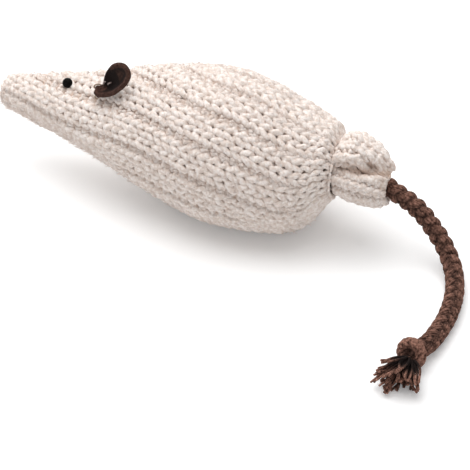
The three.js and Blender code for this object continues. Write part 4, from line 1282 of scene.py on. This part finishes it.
def ruff_rows(settings):
    """Rows of narrow rib round the gathered ruff, from the neck over the rim into the mouth."""
    ribs, knit = settings.ruff_ribs, settings.ruff_knit
    columns = [column for rib in range(ribs) for column in ((rib, knit, 1), (rib + knit, 1 - knit, -1))]
    across, swing, lift, thick = stitched(columns, settings.lean)
    off = np.abs((across - knit / 2 + 0.5) % 1 - 0.5)
    valley_from, valley_to = (knit * edge for edge in RUFF_VALLEY_EDGE)
    rib = -RUFF_VALLEY * smooth_step(valley_from, valley_to, off)
    angle = np.interp(across / ribs % 1, *ruff_angles())
    count = len(across)
    lines = []
    for index in range(int(RUFF_AT[-1] / settings.ruff_row)):
        at = (index + RUFF_FIRST + swing) * settings.ruff_row + wobble(count, RUFF_UNEVEN, 5, 2000 + index)
        at = np.clip(at, RUFF_END, RUFF_AT[-1] - RUFF_END)
        turned = mouth_share(at)
        height = (lift * RUFF_RELIEF + rib) * (1 - MOUTH_FLATTEN * turned)
        height = height - RUFF_SINK * (1 - MOUTH_RISE * turned)
        height = height + wobble(count, RUFF_UNEVEN, 4, 2100 + index)
        width = smooth_step(*RUFF_NARROW, np.interp(at, RUFF_AT, RUFF_REACH))
        thin = RUFF_NARROW_YARN + (1 - RUFF_NARROW_YARN) * width
        thin = thin * (1 - MOUTH_THIN * turned) * thick
        thin = thin * (1 + wobble(count, YARN_UNEVEN, 3, 2200 + index))
        lines.append((on_ruff(at, angle, height), thin, True))
    return lines


def tie_line():
    """The thread wound round the neck."""
    turn = np.linspace(0, FULL_TURN * TIE_TURNS, TIE_STEPS)
    radius = TIE_RADIUS + wobble(TIE_STEPS, TIE_UNEVEN, 12, 71)
    x = NECK[0] - TIE_AHEAD + np.linspace(0, TIE_LENGTH, TIE_STEPS)
    return np.stack([x, -radius * np.cos(turn), NECK[2] + radius * np.sin(turn)], axis=1), 1.0, False


class MOUSE_OT_ruff(bpy.types.Operator):
    """Gathers the knitted ruff behind the neck and winds the tie"""

    bl_idname = "mouse.ruff"
    bl_label = "Ruff and neck tie"

    def execute(self, context):
        settings, look = context.scene.mouse_knit, context.scene.mouse_look
        wool = bpy.data.materials["heather_wool"]
        ruff = strands("ruff_knit", ruff_rows(settings), settings.ruff_yarn, wool)

        def under(across, down):
            at = RUFF_END + down * (RUFF_AT[-1] - 2 * RUFF_END)
            depth = RUFF_GROUND_DEPTH * (1 - MOUTH_FLATTEN * mouth_share(at))
            return on_ruff(at, across * FULL_TURN, -depth)

        ground = wrapped_sheet("ruff_ground", 72, 30, under, wool)
        # Painted shade on the ruff: in its mouth near the tail, in the near crease, and over its ground
        points = points_of(ruff)
        inside = smooth_step(*RUFF_INSIDE, np.hypot(*(points - NECK)[:, 1:].T))
        shade = np.maximum(inside * RUFF_INSIDE_SHADE, crease_share(points) * CREASE_SHADE)
        mark_painted_shade(ruff, shade)
        mark_painted_shade(ground, RUFF_GROUND_SHADE)
        for piece in (ruff, ground):
            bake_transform(piece)
        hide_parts("tail_ruff")

        tones = (look.pale_thread, look.thread)
        thread = spun_material("pale_thread", tones, look.felt, scales=(1500, 6000), bump=0.0001)
        tie = strands("neck_thread", [tie_line()], TIE_THREAD, thread)
        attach(tie, "mouse")
        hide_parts("neck_tie")
        return {"FINISHED"}


# Ears and eyes


def ear_axes(joint, mirrored):
    """The ear's base, its directions along, across and out of the cup, and its hinge."""
    axes = unit([EAR_ALONG, np.cross(EAR_ALONG, EAR_OUT), EAR_OUT])
    if mirrored:
        left = np.array([0, -math.cos(BODY_ROLL), math.sin(BODY_ROLL)])
        axes = axes - 2 * np.outer(axes @ left, left)
    return np.array(joint["pos_m"]), axes, np.array(joint["axis"])


def ear_rim():
    """The ear's rim as a closed smooth line."""
    closed = [EAR_RIM[-1], *EAR_RIM, *EAR_RIM[:2]]
    return smooth_line(closed, EAR_RIM_STEPS)[EAR_RIM_STEPS:-EAR_RIM_STEPS]


def ear_surface(across, down):
    """The cupped felt in its own directions: along, across, out of the cup."""
    rim = ear_rim()
    at = along(rim) / along(rim)[-1]
    edge = np.stack([np.interp(across, at, column) for column in rim.T], axis=1)
    reach = np.stack([down, down, down**EAR_CUP], axis=1)
    surface = EAR_MIDDLE + (edge - EAR_MIDDLE) * reach
    surface[:, 2] += EAR_RIPPLE * np.sin(EAR_RIPPLES * FULL_TURN * across + EAR_RIPPLE_START) * down**2
    return surface


def make_ear(name, joint, mirrored, settings, felt):
    """The ear's cupped disc of felt, with its thickness and rounded edges."""
    base, axes, _ = ear_axes(joint, mirrored)
    base = base + axes[0] * (FAR_EAR_STAND if mirrored else 0)

    def place(across, down):
        return base + ear_surface(across, down) @ axes

    ear = wrapped_sheet(name, 56, 10, place, felt)
    wall = ear.modifiers.new("felt", "SOLIDIFY")
    wall.thickness, wall.offset = settings.felt, 0
    round_off = ear.modifiers.new("round", "SUBSURF")
    round_off.levels = round_off.render_levels = 2
    mesh = shown_mesh(ear)
    ear.modifiers.clear()
    ear.data = mesh
    return ear


def ear_stem(name, joint, mirrored, settings, felt):
    """The pinched, rolled base of the ear under its stitches."""
    base, axes, hinge = ear_axes(joint, mirrored)
    share = np.linspace(-1, 1, 13)[:, None]
    swell = STEM_ROLL_THIN + (1 - STEM_ROLL_THIN) * np.sqrt(1 - share[:, 0] ** 2)
    lines = [(base + hinge * share * settings.roll / 2, swell, False)]
    foot = np.linspace(0, 1, 9)[:, None]
    for side in STEM_FEET:
        start = base + hinge * side * STEM_FOOT_PLACE
        end = base + (STEM_TOP + side * STEM_TOP_SPREAD) @ axes
        lines.append((start + (end - start) * foot, np.linspace(*STEM_FEET_THIN, len(foot)), False))
    return strands(name, lines, STEM_THICKNESS, felt, sides=8)


def ear_stitch(name, joint, mirrored, side, settings, thread):
    """A stitch that arches over one end of the ear's rolled base into the head."""
    base, axes, hinge = ear_axes(joint, mirrored)
    back = np.cross(hinge, axes[2])
    turn = np.linspace(-STITCH_TUCK, math.pi + STITCH_TUCK, 15)[:, None]
    arch = back * np.cos(turn) + np.cross(back, hinge) * np.sin(turn)
    line = base + hinge * side + arch * settings.stitch
    return strands(name, [(line, 1.0, False)], settings.thread, thread)


class MOUSE_OT_ears(bpy.types.Operator):
    """Cups the felt ears on their sewn bases"""

    bl_idname = "mouse.ears"
    bl_label = "Ears"

    def execute(self, context):
        settings, look = context.scene.mouse_ear, context.scene.mouse_look
        felt = spun_material(
            "pressed_felt",
            (look.felt_worn, look.felt),
            look.felt,
            scales=(1200, 4200),
            bump=0.0003,
            deep=look.felt_painted_shade,
        )
        pale = bpy.data.materials["pale_thread"]
        brown = bpy.data.materials["sewing_thread"]  # a finish this script doesn't make, already there by this name
        for side, mirrored in (("left", False), ("right", True)):
            joint = JOINTS[f"ear_{side}_fold"]
            disc = make_ear(f"ear_{side}_felt", joint, mirrored, settings, felt)
            stem = ear_stem(f"ear_{side}_base", joint, mirrored, settings, felt)
            base, axes, _ = ear_axes(joint, mirrored)
            rim = base + ear_rim() @ axes
            # Painted shade on the felt: round the cup's hollow, over all but the rim's edge, and in a band
            # inside the rim
            hollow = hidden_share(disc, [base + EAR_HOLLOW @ axes], EAR_HOLLOW_REACH)
            inside = 1 - hidden_share(disc, rim, EAR_EDGE_REACH)
            fold = inside * hidden_share(disc, rim, EAR_FOLD_REACH)
            shade = np.maximum(hollow, EAR_INSIDE_SHADE * inside) + EAR_FOLD_SHADE * fold
            mark_painted_shade(disc, np.clip(shade, 0, 1))
            sewn = [(base + smooth_line(line, 6) @ axes, 1.0, False) for line in EAR_SEWING]
            sewing = strands(f"ear_{side}_sewing", sewn, settings.thread, pale)
            for piece, slot in ((disc, "felt"), (stem, "felt"), (sewing, "sewing_thread")):
                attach(piece, f"{side}_ear")
            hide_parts(f"ear_{side}")
            for end, place in (("front", -STITCH_PLACE), ("back", STITCH_PLACE)):
                stitch = ear_stitch(f"ear_{side}_{end}_thread", joint, mirrored, place, settings, brown)
                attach(stitch, "mouse")
                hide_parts(f"ear_stitch_{side}_{end}")
        return {"FINISHED"}


def bead_profile(bm, radius):
    """Half the bead's outline, with a dimple at both ends of the thread's hole."""
    profile = []
    for angle in np.linspace(0, math.pi, 25):
        out = radius * math.sin(angle)
        dimple = EYE_DIMPLE * radius * math.exp(-((out / (EYE_DIMPLE_WIDTH * radius)) ** 2))
        height = radius * EYE_FLAT * math.cos(angle)
        profile.append(bm.verts.new((out, 0, height - math.copysign(dimple, height))))
    return profile


class MOUSE_OT_eyes(bpy.types.Operator):
    """Turns the bead eyes, with a dimple where the thread goes in"""

    bl_idname = "mouse.eyes"
    bl_label = "Eyes"

    def execute(self, context):
        settings, look = context.scene.mouse_ear, context.scene.mouse_look
        black = bead_material(look)
        boxes = {side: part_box(f"eye_{side}") for side in ("left", "right")}
        places = {side: (Vector(low) + Vector(high)) / 2 for side, (low, high) in boxes.items()}
        line = (places["left"] - places["right"]).normalized()
        for side, way in (("left", line), ("right", -line)):
            bm = bmesh.new()
            profile = bead_profile(bm, settings.eye)
            edges = [bm.edges.new(pair) for pair in zip(profile, profile[1:])]
            bmesh.ops.spin(
                bm,
                geom=profile + edges,
                axis=(0, 0, 1),
                cent=(0, 0, 0),
                angle=FULL_TURN,
                steps=40,
                use_merge=True,
            )
            bmesh.ops.remove_doubles(bm, verts=bm.verts, dist=1e-7)
            turn = way.to_track_quat("Z", "Y").to_matrix().to_4x4()
            turn.translation = places[side]
            bmesh.ops.transform(bm, matrix=turn, verts=bm.verts)
            bead = from_bmesh(f"eye_{side}_bead", bm, black)
            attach(bead, "mouse")
            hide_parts(f"eye_{side}")
        return {"FINISHED"}


# Filling inside


def lumpy_wad(name, start, end, shift, material):
    """A closed wad of filling inside the body from one place along the outline to another."""

    def place(across, down):
        angle = across * FULL_TURN
        at = start + (end - start) * (0.5 - 0.5 * np.cos(math.pi * down))
        cap = np.sin(math.pi * np.clip(down, 0, 1)) ** WAD_ROUND
        radius = np.interp(at, SKIN_AT, SKIN[:, 1]) - WAD_DEPTH
        waves = np.sin(3 * angle + shift + 90 * at) * np.cos(5 * angle - 140 * at)
        reach = np.maximum(radius, WAD_LEAST) * cap * (1 - WAD_LUMPS * (0.5 + 0.5 * waves))
        x = NOSE_X + np.interp(at, SKIN_AT, SKIN[:, 0])
        point = hung(x, -reach * np.cos(angle), AXIS_HEIGHT + reach * np.sin(angle))
        point[:, 2] = np.maximum(point[:, 2], WAD_FLOOR)
        return point

    return wrapped_sheet(name, 48, 32, place, material)


class MOUSE_OT_filling(bpy.types.Operator):
    """Fills the body with loose fibre round the catnip sachet"""

    bl_idname = "mouse.filling"
    bl_label = "Filling"

    def execute(self, context):
        look = context.scene.mouse_look
        tones = (look.fibre, look.fibre)
        fibre = spun_material("loose_fibre", tones, look.muslin, scales=(160, 1500), bump=0.0006)
        front = lumpy_wad("fibre_front", WAD_FROM, BELLY_AT - WAD_GAP, 1.0, fibre)
        rear = lumpy_wad("fibre_rear", BELLY_AT + WAD_GAP, SKIN_AT[-1] - WAD_SHORT, 2.0, fibre)
        for wad, node in ((front, "stuffing_front"), (rear, "stuffing_rear")):
            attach(wad, "mouse")
            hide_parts(node)

        low, high = (np.array(corner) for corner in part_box("catnip_sachet"))
        middle, half = (low + high) / 2, (high - low) / 2

        def pouch(across, down):
            angle = across * FULL_TURN
            polar = math.pi * down
            pleat = 1 + POUCH_PLEAT * np.cos(POUCH_PLEATS * angle) * smooth_step(0.6, 1.0, down)
            ring = np.sin(polar) * pleat
            x = middle[0] - half[0] * np.cos(polar)
            y = middle[1] + half[1] * ring * np.cos(angle)
            z = middle[2] + half[2] * POUCH_FLAT * ring * np.sin(angle)
            return np.stack([x, y, z], axis=1)

        sachet = wrapped_sheet("sachet_pouch", 64, 24, pouch, muslin_material(look))
        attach(sachet, "mouse")
        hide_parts("catnip_sachet")

        tones = (look.leaf, [value * 0.5 for value in look.leaf])
        leaf = spun_material("dried_leaf", tones, look.muslin, scales=(900, 2400), bump=0.0008)
        bm = bmesh.new()
        bmesh.ops.create_icosphere(bm, subdivisions=4, radius=1)
        crumbs = np.random.default_rng(5).normal(1, LEAF_CRUMBLE, len(bm.verts))
        for vert, crumb in zip(bm.verts, crumbs):
            vert.co = Vector(middle) + Vector([a * b * LEAF_SHARE * crumb for a, b in zip(vert.co, half)])
        fill = from_bmesh("catnip_leaf", bm, leaf)
        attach(fill, "mouse")
        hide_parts("catnip_fill")
        return {"FINISHED"}


# Stage


class MOUSE_OT_stage(bpy.types.Operator):
    """Lays the pale floor and sets soft studio light"""

    bl_idname = "mouse.stage"
    bl_label = "Floor and light"

    def execute(self, context):
        stage = context.scene.mouse_stage
        bm = bmesh.new()
        bmesh.ops.create_grid(bm, x_segments=2, y_segments=2, size=FLOOR_HALF)
        floor = from_bmesh("floor", bm, floor_material(stage))
        for name, place, size, power in LAMPS:
            data = bpy.data.lights.new(name, "AREA")
            data.shape, data.size, data.energy = "DISK", size, power
            lamp = link(bpy.data.objects.new(name, data))
            lamp.location = place
            lamp.rotation_euler = Vector(place).to_track_quat("Z", "Y").to_euler()
        world = context.scene.world or bpy.data.worlds.new("studio")
        context.scene.world = world
        world.use_nodes = True
        nodes = Nodes(world.node_tree)
        seen = nodes.seen("Is Camera Ray", "Is Glossy Ray", "Is Transmission Ray")
        strength = nodes.spread(seen, 0, 1, WORLD_LIGHT, 1.0)
        back = nodes.add("ShaderNodeBackground", {"Color": (1, 1, 1, 1), "Strength": strength})
        nodes.add("ShaderNodeOutputWorld", {"Surface": back.outputs[0]})
        context.scene.view_settings.view_transform = "Standard"
        return {"FINISHED"}


# Panel and registration

OPERATORS = (
    MOUSE_OT_camera,
    MOUSE_OT_tail,
    MOUSE_OT_body,
    MOUSE_OT_ruff,
    MOUSE_OT_ears,
    MOUSE_OT_eyes,
    MOUSE_OT_filling,
    MOUSE_OT_stage,
)
SETTINGS = {
    "mouse_look": MOUSE_PG_look,
    "mouse_knit": MOUSE_PG_knit,
    "mouse_tail": MOUSE_PG_tail,
    "mouse_ear": MOUSE_PG_ear,
    "mouse_stage": MOUSE_PG_stage,
}


class MOUSE_PT_panel(bpy.types.Panel):
    """Lists the pieces of the mouse and their settings"""

    bl_idname = "MOUSE_PT_panel"
    bl_label = "Catnip Mouse"
    bl_space_type = "VIEW_3D"
    bl_region_type = "UI"
    bl_category = "Catnip Mouse"

    def draw(self, context):
        for operator in OPERATORS:
            self.layout.operator(operator.bl_idname)
        for key, group in SETTINGS.items():
            box = self.layout.box()
            for name in group.__annotations__:
                box.prop(getattr(context.scene, key), name)


def register():
    for group in SETTINGS.values():
        bpy.utils.register_class(group)
    for key, group in SETTINGS.items():
        setattr(bpy.types.Scene, key, bpy.props.PointerProperty(type=group))
    for cls in (*OPERATORS, MOUSE_PT_panel):
        bpy.utils.register_class(cls)


def unregister():
    for cls in (MOUSE_PT_panel, *reversed(OPERATORS)):
        bpy.utils.unregister_class(cls)
    for key, group in SETTINGS.items():
        delattr(bpy.types.Scene, key)
        bpy.utils.unregister_class(group)


def main():
    register()
    for operator in OPERATORS:
        group, name = operator.bl_idname.split(".")
        getattr(getattr(bpy.ops, group), name)()


if __name__ == "__main__":
    main()
